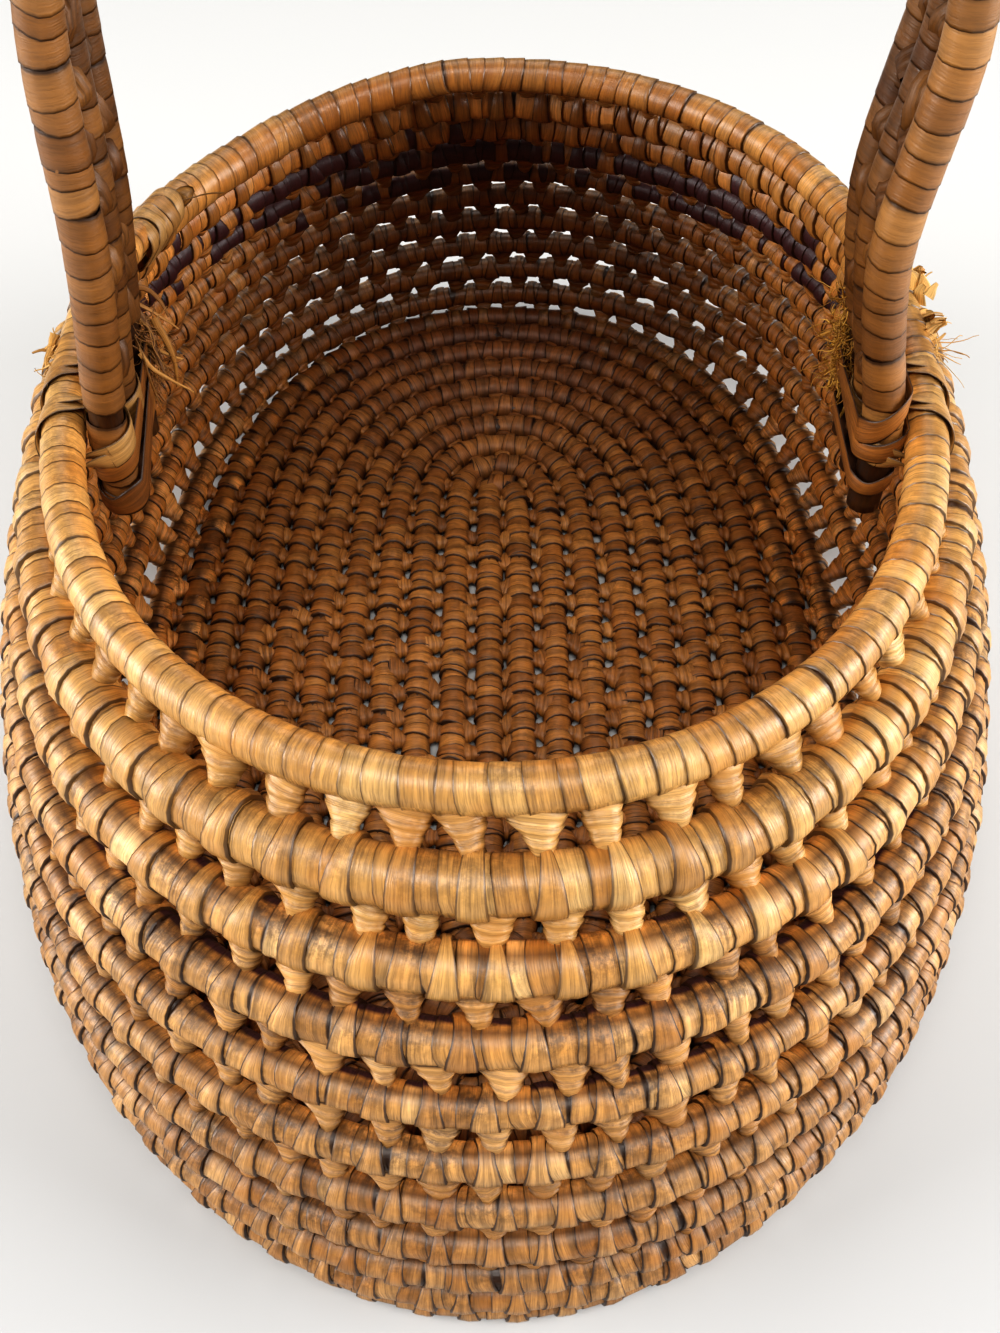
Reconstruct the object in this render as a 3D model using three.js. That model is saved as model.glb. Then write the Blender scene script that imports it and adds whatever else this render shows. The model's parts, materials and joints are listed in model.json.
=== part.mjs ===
// An oval basket, coiled and sewn from leaf strips, with a stiff handle of three wrapped rods.
// Millimetres, +Z up. It stands on z = 0, with its long axis along Y and its handle across X.
import * as THREE from 'three';

// Coil: a fibre bundle wrapped in strips, wound from the floor's middle up to the rim
const FLOOR_COIL = 9;
const WALL_COIL = 9;
const SHOULDER_COIL = 12.4;
const RIM_COIL = 9.6;
const COIL_SIDES = 6;
const FLOOR_STEPS = 28;
const WALL_STEPS = 32;
const RIM_STEPS = 48;
const CLEARANCE = 0.3;
const END_RUN = 3;
const HALF_TURN_APART = 0.5;

// Floor: a flat oval spiral round a straight start
const FLOOR_TURNS = 9.75;
const START_TURNS = 0.17;
const START_HALF_LENGTH = 87.6;
const FLOOR_SIDE_GAP = 2.5;
const FLOOR_END_GAP = 1.6;
const START_ROUNDNESS = 0.15;

// Wall: level courses that bulge out to a belly and draw in to the rim
const WALL_TURNS = 10;
const THICKENS_FROM = 6;
const WALL_GAP = 2.8;
const GAP_GROWTH = 0.4;
const WALL_ROUNDNESS = 0.55;
const SIDE_FLARE = 20;
const SIDE_DRAW_IN = 26;
const SIDE_BELLY_HEIGHT = 52;
const SIDE_SWELL = 3.2;
const SIDE_BULGE = 1.7;
const END_FLARE = 1.5;
const END_DRAW_IN = 60;
const END_BELLY_HEIGHT = 12;
const END_SWELL = 1.8;
const END_BULGE = 1.8;

// Each turn passes to the next at the left: evenly at the floor's start, then in ever shorter climbs
const CLIMB_ANGLE = THREE.MathUtils.degToRad(165);
const CLIMB_SHARE = 0.1;
const CLIMB_LAG = 0.15;
const EVEN_TURN = -8;
const TAIL_END = 0.535;
const TAIL_TURNS = 0.055;
const TAIL_TIP = 6.4;
const TAIL_DROP = 4.5;
const JOIN_SHARE = 0.76;
const DYED_FROM = 5;
const DYED_TURNS = 2;

// Handle: three rods side by side, each a stiff core in a strip wrap
const ROD = 11;
const ROD_CORE = 8.4;
const ROD_GAP = 2.5;
const ROD_SIDES = 8;
const ROD_STEP = 21;
const LEAST_STEP_SHARE = 0.2;
const ROD_SEAT = 0.6;
const HANDLE_PLACE = -15;
const HANDLE_RISE = 175;
const SHOULDER_RISE = 105;
const SHOULDER_HALF_SPAN = 87.6;
const ARCH_SHIFT = 2.3;
const WAIST_RISE = 50;
const WAIST_HALF_SPAN = 86.8;
const WAIST_SHIFT = -1.2;
const FOOT_DEPTH = 24;
const RODS = [
  { name: 'front', row: -1, leftBare: 34, rightBare: 23 },
  { name: 'middle', row: 0, leftBare: 12, rightBare: 12 },
  { name: 'back', row: 1, leftBare: 39, rightBare: 36 },
];
const FOOT_WRAP_START = 4;
const FOOT_WRAP_LENGTH = 23;

// Strips that bind the handle, and frayed ends
const STITCH_HEIGHT = 5;
const STITCH_START = 40;
const LASHING_SIDES = 6;
const LASHING_LIFT = 1.5;
const BEND_STEPS = 8;
const STRAP_THICKNESS = 1;
const STRAP_WIDTH = 8;
const STRAP_DEPTH = 14;
const STRAP_STEPS = 20;
const SPLICE_WIDTH = 6;
const SPLICE_SLACK = 1.6;
const TUFT_LENGTH = 39;
const TUFT_RADII = [2.2, 4.4, 5.5, 3.3];
const TUFT_SPREAD = 8;
const END_TUFT_LENGTH = 17;
const END_TUFT_RADII = [2.2, 2.9, 1.1];
const END_TUFT_LEAN = 6;
const LEFT_END_TUFT_PLACE = 3;
const RIGHT_END_TUFT_PLACE = 22;

// Sizes that follow from those above
const FULL_TURN = 2 * Math.PI;
const UP = new THREE.Vector3(0, 0, 1);
const ACROSS_HANDLE = new THREE.Vector3(0, 1, 0);
const FLAT_SHARE = Math.cos(Math.PI / COIL_SIDES);
const SHOULDER_COURSE = WALL_TURNS - 1;
const BASE_HEIGHT = (FLOOR_COIL / 2) * FLAT_SHARE;
const SIDE_PITCH = FLOOR_COIL + FLOOR_SIDE_GAP;
const END_PITCH = FLOOR_COIL + FLOOR_END_GAP;
const BASE_HALF_WIDTH = FLOOR_TURNS * SIDE_PITCH;
const BASE_HALF_LENGTH = START_HALF_LENGTH + FLOOR_TURNS * END_PITCH;
const RIM_HEIGHT = courseHeight(WALL_TURNS);
const RIM_TOP_TURN = WALL_TURNS + TAIL_END;
const TAIL_TURN = RIM_TOP_TURN - TAIL_TURNS;
const ROD_PITCH = ROD + ROD_GAP;
const LASHING = ROD_GAP - 3 * CLEARANCE;
const RIM_LEVEL = BASE_HEIGHT + RIM_HEIGHT;

const COLOURS = {
  strip: { color: 0xb98a4e, roughness: 0.72, metalness: 0 },
  rim: { color: 0xc4975a, roughness: 0.66, metalness: 0 },
  dyed: { color: 0x4b2d3b, roughness: 0.75, metalness: 0 },
  core: { color: 0xa87840, roughness: 0.85, metalness: 0 },
  fibre: { color: 0xcf9b3f, roughness: 0.9, metalness: 0 },
};

// Height of a wall course above the floor's outermost turn: each gap is wider than the one below
function courseHeight(course) {
  return course * (WALL_COIL + WALL_GAP + (GAP_GROWTH / 2) * course);
}

// Half of the basket's width or length at a height: a belly with a curve above it and one below
function halfSize(height, base, flare, drawIn, bellyHeight, swell, bulge) {
  if (height < bellyHeight) {
    return base + flare * (1 - (1 - height / bellyHeight) ** swell);
  }
  return base + flare - drawIn * ((height - bellyHeight) / (RIM_HEIGHT - bellyHeight)) ** bulge;
}

// Half width, half length, height and roundness of the oval at a course: below zero is the floor
function ovalAt(course) {
  if (course < 0) {
    const turns = course + FLOOR_TURNS;
    const out = turns / FLOOR_TURNS;
    return {
      halfWidth: turns * SIDE_PITCH,
      halfLength: START_HALF_LENGTH + turns * END_PITCH,
      height: BASE_HEIGHT,
      roundness: THREE.MathUtils.lerp(START_ROUNDNESS, WALL_ROUNDNESS, out),
    };
  }
  const height = courseHeight(course);
  const sides = [SIDE_FLARE, SIDE_DRAW_IN, SIDE_BELLY_HEIGHT, SIDE_SWELL, SIDE_BULGE];
  const ends = [END_FLARE, END_DRAW_IN, END_BELLY_HEIGHT, END_SWELL, END_BULGE];
  return {
    halfWidth: halfSize(height, BASE_HALF_WIDTH, ...sides),
    halfLength: halfSize(height, BASE_HALF_LENGTH, ...ends),
    height: BASE_HEIGHT + height,
    roundness: WALL_ROUNDNESS,
  };
}

// A point of an oval: round ends that pass into flatter sides
function ovalPoint(oval, angle) {
  const sine = Math.sin(angle);
  const round = oval.roundness ** 2;
  const stretch = sine * Math.sqrt((1 + round) / (sine ** 2 + round));
  const x = oval.halfWidth * Math.cos(angle);
  const y = oval.halfWidth * sine + (oval.halfLength - oval.halfWidth) * stretch;
  return new THREE.Vector3(x, y, oval.height);
}

// Radius of the coil at a course: it thickens towards the course under the rim
function coilRadius(course) {
  const { clamp, lerp, mapLinear } = THREE.MathUtils;
  if (course < THICKENS_FROM) {
    return lerp(FLOOR_COIL, WALL_COIL, clamp(course, 0, 1)) / 2;
  }
  if (course < SHOULDER_COURSE) {
    return mapLinear(course, THICKENS_FROM, SHOULDER_COURSE, WALL_COIL, SHOULDER_COIL) / 2;
  }
  return lerp(SHOULDER_COIL, RIM_COIL, course - SHOULDER_COURSE) / 2;
}

// The coil's centre and radius at a count of turns: zero is the end of the floor
function coilAt(turn) {
  const whole = Math.floor(turn);
  const shortening = Math.max((whole - EVEN_TURN) / (WALL_TURNS - 1 - EVEN_TURN), 0);
  const stretch = CLIMB_SHARE ** shortening;
  const middle = 0.5 + CLIMB_LAG * (1 - stretch);
  const climb = THREE.MathUtils.clamp((turn - whole - middle) / stretch + 0.5, 0, 1);
  const course = Math.min(whole + climb, WALL_TURNS);
  const point = ovalPoint(ovalAt(course), CLIMB_ANGLE - FULL_TURN * (turn - 0.5));
  const tail = THREE.MathUtils.clamp((turn - TAIL_TURN) / (RIM_TOP_TURN - TAIL_TURN), 0, 1);
  const radius = THREE.MathUtils.lerp(coilRadius(course), TAIL_TIP / 2, tail);
  point.z -= TAIL_DROP * tail;
  return { point, radius };
}

// Outline of a round section
function roundOutline(radius, sides) {
  return Array.from({ length: sides }, (unused, index) => {
    const angle = (FULL_TURN * index) / sides;
    return new THREE.Vector2(radius * Math.cos(angle), radius * Math.sin(angle));
  });
}

// Outline of a flat strip's section
function stripOutline(thickness, width) {
  const corners = [[1, -1], [1, 1], [-1, 1], [-1, -1]];
  return corners.map(([out, along]) => new THREE.Vector2((out * thickness) / 2, (along * width) / 2));
}

// A section outline set square to a direction, its first axis along across
function ring(center, direction, across, outline) {
  const first = across.clone().addScaledVector(direction, -across.dot(direction)).normalize();
  const second = new THREE.Vector3().crossVectors(direction, first);
  return outline.map((corner) => {
    const moved = center.clone().addScaledVector(first, corner.x);
    return moved.addScaledVector(second, corner.y);
  });
}

// A closed surface through rings: capped at both ends, or joined end to end
function loft(rings, joined) {
  const sides = rings[0].length;
  const positions = rings.flat().flatMap((corner) => corner.toArray());
  const triangles = [];
  const spans = joined ? rings.length : rings.length - 1;
  for (let span = 0; span < spans; span += 1) {
    const here = span * sides;
    const next = ((span + 1) % rings.length) * sides;
    for (let side = 0; side < sides; side += 1) {
      const after = (side + 1) % sides;
      triangles.push(here + side, here + after, next + after);
      triangles.push(here + side, next + after, next + side);
    }
  }
  const last = (rings.length - 1) * sides;
  for (let side = 1; side < sides - 1 && !joined; side += 1) {
    triangles.push(0, side + 1, side);
    triangles.push(last, last + side, last + side + 1);
  }
  const geometry = new THREE.BufferGeometry();
  geometry.setAttribute('position', new THREE.Float32BufferAttribute(positions, 3));
  geometry.setIndex(triangles);
  geometry.computeVertexNormals();
  return geometry;
}

// Direction of a line of points at one of them
function directionAt(points, index, joined) {
  const count = points.length;
  const before = joined ? (index + count - 1) % count : Math.max(index - 1, 0);
  const after = joined ? (index + 1) % count : Math.min(index + 1, count - 1);
  return points[after].clone().sub(points[before]).normalize();
}

const basket = new THREE.Group();

function addPiece(name, geometry, colour) {
  const mesh = new THREE.Mesh(geometry, new THREE.MeshStandardMaterial(COLOURS[colour]));
  mesh.name = name;
  basket.add(mesh);
}

// Least gap of a wound tube to itself, on points set along it more than half a turn apart
function leastGap(stations) {
  const samples = [];
  const parts = 4;
  for (let index = 0; index + 1 < stations.length; index += 1) {
    const here = stations[index];
    const next = stations[index + 1];
    for (let part = 0; part < parts; part += 1) {
      const share = part / parts;
      samples.push({
        turn: THREE.MathUtils.lerp(here.turn, next.turn, share),
        point: here.point.clone().lerp(next.point, share),
        radius: THREE.MathUtils.lerp(here.radius, next.radius, share),
      });
    }
  }
  let least = Infinity;
  samples.forEach((one, index) => {
    samples.slice(index).filter((other) => other.turn - one.turn > HALF_TURN_APART).forEach((other) => {
      least = Math.min(least, one.point.distanceTo(other.point) - one.radius - other.radius);
    });
  });
  return least;
}

// A stretch of the coil, its ends straight for one diameter and square to the next stretch
function addCoil(name, from, to, steps, colour) {
  const stations = [from, to].map((turn) => ({ turn, ...coilAt(turn) }));
  const nudge = 0.001;
  const directions = [from, to].map((turn) => {
    return coilAt(turn + nudge).point.sub(coilAt(turn - nudge).point).normalize();
  });
  const runs = stations.map((station, index) => {
    const inward = directions[index].clone().multiplyScalar(index === 0 ? 1 : -1);
    const seat = { ...station, point: station.point.clone().addScaledVector(inward, CLEARANCE / 2) };
    const bend = { ...station, point: station.point.clone().addScaledVector(inward, 2 * station.radius) };
    return { seat, bend, direction: directions[index] };
  });
  const path = [runs[0].seat, runs[0].bend];
  for (let step = Math.ceil(from * steps); step <= to * steps; step += 1) {
    const station = { turn: step / steps, ...coilAt(step / steps) };
    const clear = stations.every((end) => station.point.distanceTo(end.point) > END_RUN * end.radius);
    const nearEnd = Math.min(station.turn - from, to - station.turn) < HALF_TURN_APART;
    if (clear || !nearEnd) {
      path.push(station);
    }
  }
  path.push(runs[1].bend, runs[1].seat);
  const points = path.map((station) => station.point);
  const rings = path.map((station, index) => {
    const inner = directionAt(points, index, false);
    const direction = index < 2 ? runs[0].direction : index > path.length - 3 ? runs[1].direction : inner;
    const across = new THREE.Vector3().crossVectors(direction, UP).normalize();
    return ring(station.point, direction, across, roundOutline(station.radius, COIL_SIDES));
  });
  addPiece(name, loft(rings, false), colour);
  if (to - from > 1) {
    console.log(`${name}: least gap to itself ${leastGap(path).toFixed(2)} mm`);
  }
}

const FLOOR_END_TURN = JOIN_SHARE - 1;
const DYED_TURN = DYED_FROM + JOIN_SHARE;
const UPPER_TURN = DYED_TURN + DYED_TURNS;
const RIM_TURN = WALL_TURNS - 2 + JOIN_SHARE;
addCoil('floor_coil', START_TURNS - FLOOR_TURNS, FLOOR_END_TURN, FLOOR_STEPS, 'strip');
addCoil('lower_wall_coil', FLOOR_END_TURN, DYED_TURN, WALL_STEPS, 'strip');
addCoil('dyed_band_coil', DYED_TURN, UPPER_TURN, WALL_STEPS, 'dyed');
addCoil('upper_wall_coil', UPPER_TURN, RIM_TURN, WALL_STEPS, 'strip');
addCoil('rim_coil', RIM_TURN, RIM_TOP_TURN, RIM_STEPS, 'rim');

// A strip drawn tight round parallel bars, given as circles square to an axis
function addStrap(name, circles, axis, across, width, slack) {
  const second = new THREE.Vector3().crossVectors(axis, across);
  const rings = [];
  for (let step = 0; step < STRAP_STEPS; step += 1) {
    const angle = (FULL_TURN * (step + 0.5)) / STRAP_STEPS;
    const normal = across.clone().multiplyScalar(Math.cos(angle)).addScaledVector(second, Math.sin(angle));
    const reach = (circle) => circle.center.dot(normal) + circle.radius;
    const outer = circles.reduce((best, circle) => (reach(circle) > reach(best) ? circle : best));
    const center = outer.center.clone().addScaledVector(normal, outer.radius + slack + STRAP_THICKNESS / 2);
    const along = new THREE.Vector3().crossVectors(axis, normal);
    rings.push(ring(center, along, normal, stripOutline(STRAP_THICKNESS, width)));
  }
  addPiece(name, loft(rings, true), 'strip');
}

// The rim's tail is bound to the course that climbs under it
const tailEnd = coilAt(RIM_TOP_TURN).point;
const tailRun = tailEnd.clone().sub(coilAt(TAIL_TURN).point).setZ(0);
const tailAxis = tailRun.clone().normalize();
const bandShare = SPLICE_WIDTH / 2 / tailRun.length();
const bandTurn = THREE.MathUtils.lerp(RIM_TOP_TURN, TAIL_TURN, bandShare);
const bandCenter = coilAt(bandTurn).point;
const tailCircles = [bandTurn, bandTurn - 1].map((turn) => {
  const { point, radius } = coilAt(turn);
  const ahead = point.clone().sub(bandCenter).dot(tailAxis);
  return { center: point.addScaledVector(tailAxis, -ahead), radius };
});
addStrap('rim_splice_band', tailCircles, tailAxis, UP, SPLICE_WIDTH, SPLICE_SLACK);

// Distance of the rim's centre from the middle at a place along the basket
function rimReach(place) {
  let low = -Math.PI / 2;
  let high = Math.PI / 2;
  const oval = ovalAt(WALL_TURNS);
  for (let round = 0; round < 40; round += 1) {
    const middle = (low + high) / 2;
    if (ovalPoint(oval, middle).y < place) {
      low = middle;
    } else {
      high = middle;
    }
  }
  return ovalPoint(oval, low).x;
}

// The line that the rods follow, seen from the front: two legs that draw in to a waist, and an arch
const FRONT_PLACE = HANDLE_PLACE - ROD_PITCH;
const LEG_REACH = rimReach(FRONT_PLACE) - RIM_COIL / 2 - ROD / 2 - ROD_SEAT;
const LEG_X = { left: -LEG_REACH, right: LEG_REACH };
const WAIST_X = { left: WAIST_SHIFT - WAIST_HALF_SPAN, right: WAIST_SHIFT + WAIST_HALF_SPAN };
const SHOULDER_X = { left: ARCH_SHIFT - SHOULDER_HALF_SPAN, right: ARCH_SHIFT + SHOULDER_HALF_SPAN };

function legPoint(side, rise) {
  const { clamp, lerp } = THREE.MathUtils;
  const waist = lerp(LEG_X[side], WAIST_X[side], clamp(rise / WAIST_RISE, 0, 1));
  const shoulder = clamp((rise - WAIST_RISE) / (SHOULDER_RISE - WAIST_RISE), 0, 1);
  return new THREE.Vector3(lerp(waist, SHOULDER_X[side], shoulder), 0, RIM_LEVEL + rise);
}

function archPoint(angle) {
  const rise = SHOULDER_RISE + (HANDLE_RISE - SHOULDER_RISE) * Math.sin(angle);
  return new THREE.Vector3(ARCH_SHIFT - SHOULDER_HALF_SPAN * Math.cos(angle), 0, RIM_LEVEL + rise);
}

const ROD_LINE = new THREE.CatmullRomCurve3([
  legPoint('left', -FOOT_DEPTH),
  legPoint('left', 0),
  legPoint('left', WAIST_RISE),
  legPoint('left', SHOULDER_RISE),
  archPoint(Math.PI / 8),
  archPoint(Math.PI / 4),
  archPoint(Math.PI / 2),
  archPoint((3 * Math.PI) / 4),
  archPoint((7 * Math.PI) / 8),
  legPoint('right', SHOULDER_RISE),
  legPoint('right', WAIST_RISE),
  legPoint('right', 0),
  legPoint('right', -FOOT_DEPTH),
]);
const ROD_LENGTH = ROD_LINE.getLength();

// Rings along the rod line between two lengths from its left foot, at shared steps
function rodRings(from, to, place, outline) {
  const lengths = [from];
  const first = Math.ceil(from / ROD_STEP + LEAST_STEP_SHARE);
  const last = to / ROD_STEP - LEAST_STEP_SHARE;
  for (let step = first; step < last; step += 1) {
    lengths.push(step * ROD_STEP);
  }
  lengths.push(to);
  return lengths.map((length) => {
    const center = ROD_LINE.getPointAt(length / ROD_LENGTH).setY(place);
    const direction = ROD_LINE.getTangentAt(length / ROD_LENGTH);
    return ring(center, direction, ACROSS_HANDLE, outline);
  });
}

// A strip wrap: a sleeve round a rod's core
function addRodWrap(name, from, to, place) {
  const outer = rodRings(from, to, place, roundOutline(ROD / 2, ROD_SIDES));
  const inner = rodRings(from, to, place, roundOutline(ROD_CORE / 2 + CLEARANCE, ROD_SIDES));
  addPiece(name, loft([...outer, ...inner.reverse()], true), 'strip');
}

RODS.forEach((rod) => {
  const place = HANDLE_PLACE + rod.row * ROD_PITCH;
  const core = rodRings(0, ROD_LENGTH, place, roundOutline(ROD_CORE / 2, ROD_SIDES));
  addPiece(`${rod.name}_rod_core`, loft(core, false), 'core');
  addRodWrap(`${rod.name}_rod_wrap`, rod.leftBare, ROD_LENGTH - rod.rightBare, place);
});
addRodWrap('left_front_foot_wrap', FOOT_WRAP_START, FOOT_WRAP_START + FOOT_WRAP_LENGTH, FRONT_PLACE);

// The rows of stitches that hold the rods together
[['front', -1], ['back', 1]].forEach(([name, row]) => {
  const outline = stripOutline(ROD_GAP - 2 * CLEARANCE, STITCH_HEIGHT);
  const place = HANDLE_PLACE + (row * ROD_PITCH) / 2;
  const rings = rodRings(STITCH_START, ROD_LENGTH - STITCH_START, place, outline);
  addPiece(`${name}_rod_stitching`, loft(rings, false), 'strip');
});

// A twisted strip round one leg and the rim: over the rim on one side of the leg, under it on the other
function addLashing(name, side, place) {
  const out = side === 'left' ? -1 : 1;
  const legX = Math.abs(LEG_X[side]);
  const rimX = rimReach(place);
  const legBend = ROD / 2 + ROD_GAP / 2;
  const rimBend = RIM_COIL / 2 + 2 * CLEARANCE + LASHING / 2 + ROD_SEAT;
  const points = [];
  for (let step = 0; step <= BEND_STEPS; step += 1) {
    const angle = Math.PI * (step / BEND_STEPS - 0.5);
    const lift = LASHING_LIFT * (2 * step / BEND_STEPS - 1);
    points.push([legX - legBend * Math.cos(angle), place + legBend * Math.sin(angle), RIM_LEVEL + lift]);
  }
  for (let step = 0; step <= BEND_STEPS; step += 1) {
    const share = 1 - (2 * step) / BEND_STEPS;
    const angle = (Math.PI / 2) * share;
    const lift = rimBend * Math.sin(angle);
    points.push([rimX + rimBend * Math.cos(angle), place + legBend * share, RIM_LEVEL + lift]);
  }
  const line = points.map(([x, y, z]) => new THREE.Vector3(out * x, y, z));
  const outline = roundOutline(LASHING / 2, LASHING_SIDES);
  const rings = line.map((point, index) => ring(point, directionAt(line, index, true), UP, outline));
  addPiece(name, loft(rings, true), 'strip');
}

['left', 'right'].forEach((side) => {
  RODS.filter((rod) => rod.name !== 'back').forEach((rod) => {
    addLashing(`${side}_${rod.name}_lashing`, side, HANDLE_PLACE + rod.row * ROD_PITCH);
  });
  const feet = RODS.map((rod) => {
    const center = legPoint(side, -STRAP_DEPTH).setY(HANDLE_PLACE + rod.row * ROD_PITCH);
    return { center, radius: ROD / 2 };
  });
  addStrap(`${side}_foot_strap`, feet, UP, ACROSS_HANDLE, STRAP_WIDTH, 2 * CLEARANCE);
});

// A tuft of frayed fibre, as rings of given places and radii
function addTuft(name, stations) {
  const points = stations.map((station) => station.point);
  const rings = stations.map((station, index) => {
    const outline = roundOutline(station.radius, COIL_SIDES);
    return ring(station.point, directionAt(points, index, false), ACROSS_HANDLE, outline);
  });
  addPiece(name, loft(rings, false), 'fibre');
}

// The back rod's bare core frays out beside its foot on both sides
const BACK_ROD = RODS[RODS.length - 1];
const BACK_PLACE = HANDLE_PLACE + BACK_ROD.row * ROD_PITCH;
[['left', BACK_ROD.leftBare], ['right', BACK_ROD.rightBare]].forEach(([side, bare]) => {
  const top = bare - FOOT_DEPTH - TUFT_RADII[0];
  const stations = TUFT_RADII.map((radius, index) => {
    const share = index / (TUFT_RADII.length - 1);
    const beside = ROD_CORE / 2 + 2 * CLEARANCE + TUFT_RADII[0] + TUFT_SPREAD * Math.sqrt(share);
    const point = legPoint(side, top - share * TUFT_LENGTH);
    point.setY(BACK_PLACE + beside);
    return { point, radius };
  });
  addTuft(`${side}_inner_tuft`, stations);
});

// The lashings' ends stand up outside the rim
[['left', -1, LEFT_END_TUFT_PLACE], ['right', 1, RIGHT_END_TUFT_PLACE]].forEach(([side, out, place]) => {
  const stations = END_TUFT_RADII.map((radius, index) => {
    const share = index / (END_TUFT_RADII.length - 1);
    const seat = rimReach(place) + RIM_COIL / 2 + CLEARANCE + END_TUFT_RADII[0] * FLAT_SHARE;
    const reach = seat + END_TUFT_LEAN * share;
    return { point: new THREE.Vector3(out * reach, place, RIM_LEVEL + share * END_TUFT_LENGTH), radius };
  });
  addTuft(`${side}_outer_tuft`, stations);
});

export default basket;
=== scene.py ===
"""An oval basket, coiled and sewn from leaf strips, with a stiff handle of three wrapped rods.

Lengths in the basket's own values are in millimetres. What goes to Blender is in metres.
"""
import json
import math

import bpy
import numpy as np
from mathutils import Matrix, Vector

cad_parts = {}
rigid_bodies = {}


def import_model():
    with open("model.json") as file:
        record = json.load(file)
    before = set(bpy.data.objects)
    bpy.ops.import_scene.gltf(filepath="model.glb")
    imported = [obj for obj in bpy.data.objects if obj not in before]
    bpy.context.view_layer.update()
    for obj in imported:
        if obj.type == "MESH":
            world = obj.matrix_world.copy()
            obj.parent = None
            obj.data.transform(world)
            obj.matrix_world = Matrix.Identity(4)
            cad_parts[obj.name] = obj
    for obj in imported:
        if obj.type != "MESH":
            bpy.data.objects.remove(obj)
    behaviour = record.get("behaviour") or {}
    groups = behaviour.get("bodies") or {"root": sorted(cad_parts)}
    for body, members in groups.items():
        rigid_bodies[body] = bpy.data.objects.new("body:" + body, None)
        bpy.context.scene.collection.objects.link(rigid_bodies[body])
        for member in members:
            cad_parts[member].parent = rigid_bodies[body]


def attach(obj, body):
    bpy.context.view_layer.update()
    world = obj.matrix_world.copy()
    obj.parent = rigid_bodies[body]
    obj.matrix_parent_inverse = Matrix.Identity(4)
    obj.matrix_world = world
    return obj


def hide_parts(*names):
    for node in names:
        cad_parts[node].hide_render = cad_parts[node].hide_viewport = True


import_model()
scene = bpy.context.scene
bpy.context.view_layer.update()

MM = 0.001
FULL_TURN = 2 * math.pi
HALVINGS = 40
UP = np.array([0.0, 0.0, 1.0])
ALONG = np.array([0.0, 1.0, 0.0])
ACROSS = np.array([1.0, 0.0, 0.0])

# The coil, as the solids have it
FLOOR_COIL = 9
WALL_COIL = 9
SHOULDER_COIL = 12.4
RIM_COIL = 9.6
FLOOR_TURNS = 9.75
START_TURNS = 0.17
START_HALF_LENGTH = 87.6
FLOOR_SIDE_GAP = 2.5
FLOOR_END_GAP = 1.6
START_ROUNDNESS = 0.15
WALL_TURNS = 10
THICKENS_FROM = 6
WALL_GAP = 2.8
GAP_GROWTH = 0.4
WALL_ROUNDNESS = 0.55
SIDES = {"flare": 20, "draw_in": 26, "belly_height": 52, "swell": 3.2, "bulge": 1.7}
ENDS = {"flare": 1.5, "draw_in": 60, "belly_height": 12, "swell": 1.8, "bulge": 1.8}
CLIMB_ANGLE = math.radians(165)
CLIMB_SHARE = 0.1
CLIMB_LAG = 0.15
EVEN_TURN = -8
TAIL_END = 0.535
TAIL_TURNS = 0.055
TAIL_TIP = 6.4
TAIL_DROP = 4.5
JOIN_SHARE = 0.76
DYED_FROM = 5
DYED_TURNS = 2

# The handle, as the solids have it
ROD = 11
ROD_CORE = 8.4
ROD_GAP = 2.5
ROD_SEAT = 0.6
HANDLE_PLACE = -15
HANDLE_RISE = 175
SHOULDER_RISE = 105
SHOULDER_HALF_SPAN = 87.6
ARCH_SHIFT = 2.3
WAIST_RISE = 50
WAIST_HALF_SPAN = 86.8
WAIST_SHIFT = -1.2
FOOT_DEPTH = 24
RODS = {
    "front": {"row": -1, "left_bare": 34, "right_bare": 23},
    "middle": {"row": 0, "left_bare": 12, "right_bare": 12},
    "back": {"row": 1, "left_bare": 39, "right_bare": 36},
}
FOOT_WRAP_START = 4
FOOT_WRAP_LENGTH = 23
STITCH_START = 40


def course_height(course):
    return course * (WALL_COIL + WALL_GAP + GAP_GROWTH / 2 * course)


# Sizes that follow from those above
SHOULDER_COURSE = WALL_TURNS - 1
BASE_HEIGHT = FLOOR_COIL / 2 * math.cos(math.pi / 6)
SIDE_PITCH = FLOOR_COIL + FLOOR_SIDE_GAP
END_PITCH = FLOOR_COIL + FLOOR_END_GAP
BASE_HALF_WIDTH = FLOOR_TURNS * SIDE_PITCH
BASE_HALF_LENGTH = START_HALF_LENGTH + FLOOR_TURNS * END_PITCH
RIM_HEIGHT = course_height(WALL_TURNS)
RIM_LEVEL = BASE_HEIGHT + RIM_HEIGHT
RIM_TOP_TURN = WALL_TURNS + TAIL_END
TAIL_TURN = RIM_TOP_TURN - TAIL_TURNS
START_TURN = START_TURNS - FLOOR_TURNS
FLOOR_END_TURN = JOIN_SHARE - 1
DYED_TURN = DYED_FROM + JOIN_SHARE
UPPER_TURN = DYED_TURN + DYED_TURNS
RIM_TURN = WALL_TURNS - 2 + JOIN_SHARE
ROD_PITCH = ROD + ROD_GAP
ROD_PLACES = {name: HANDLE_PLACE + facts["row"] * ROD_PITCH for name, facts in RODS.items()}
OUTWARD = {"left": -1, "right": 1}


# The lines that the strips follow

def lerp(low, high, share):
    return low + (high - low) * share


def clamp(value):
    return max(0.0, min(1.0, value))


def unit(vector):
    return vector / np.linalg.norm(vector)


def half_size(height, base, flare, draw_in, belly_height, swell, bulge):
    if height < belly_height:
        return base + flare * (1 - (1 - height / belly_height) ** swell)
    return base + flare - draw_in * ((height - belly_height) / (RIM_HEIGHT - belly_height)) ** bulge


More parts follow.
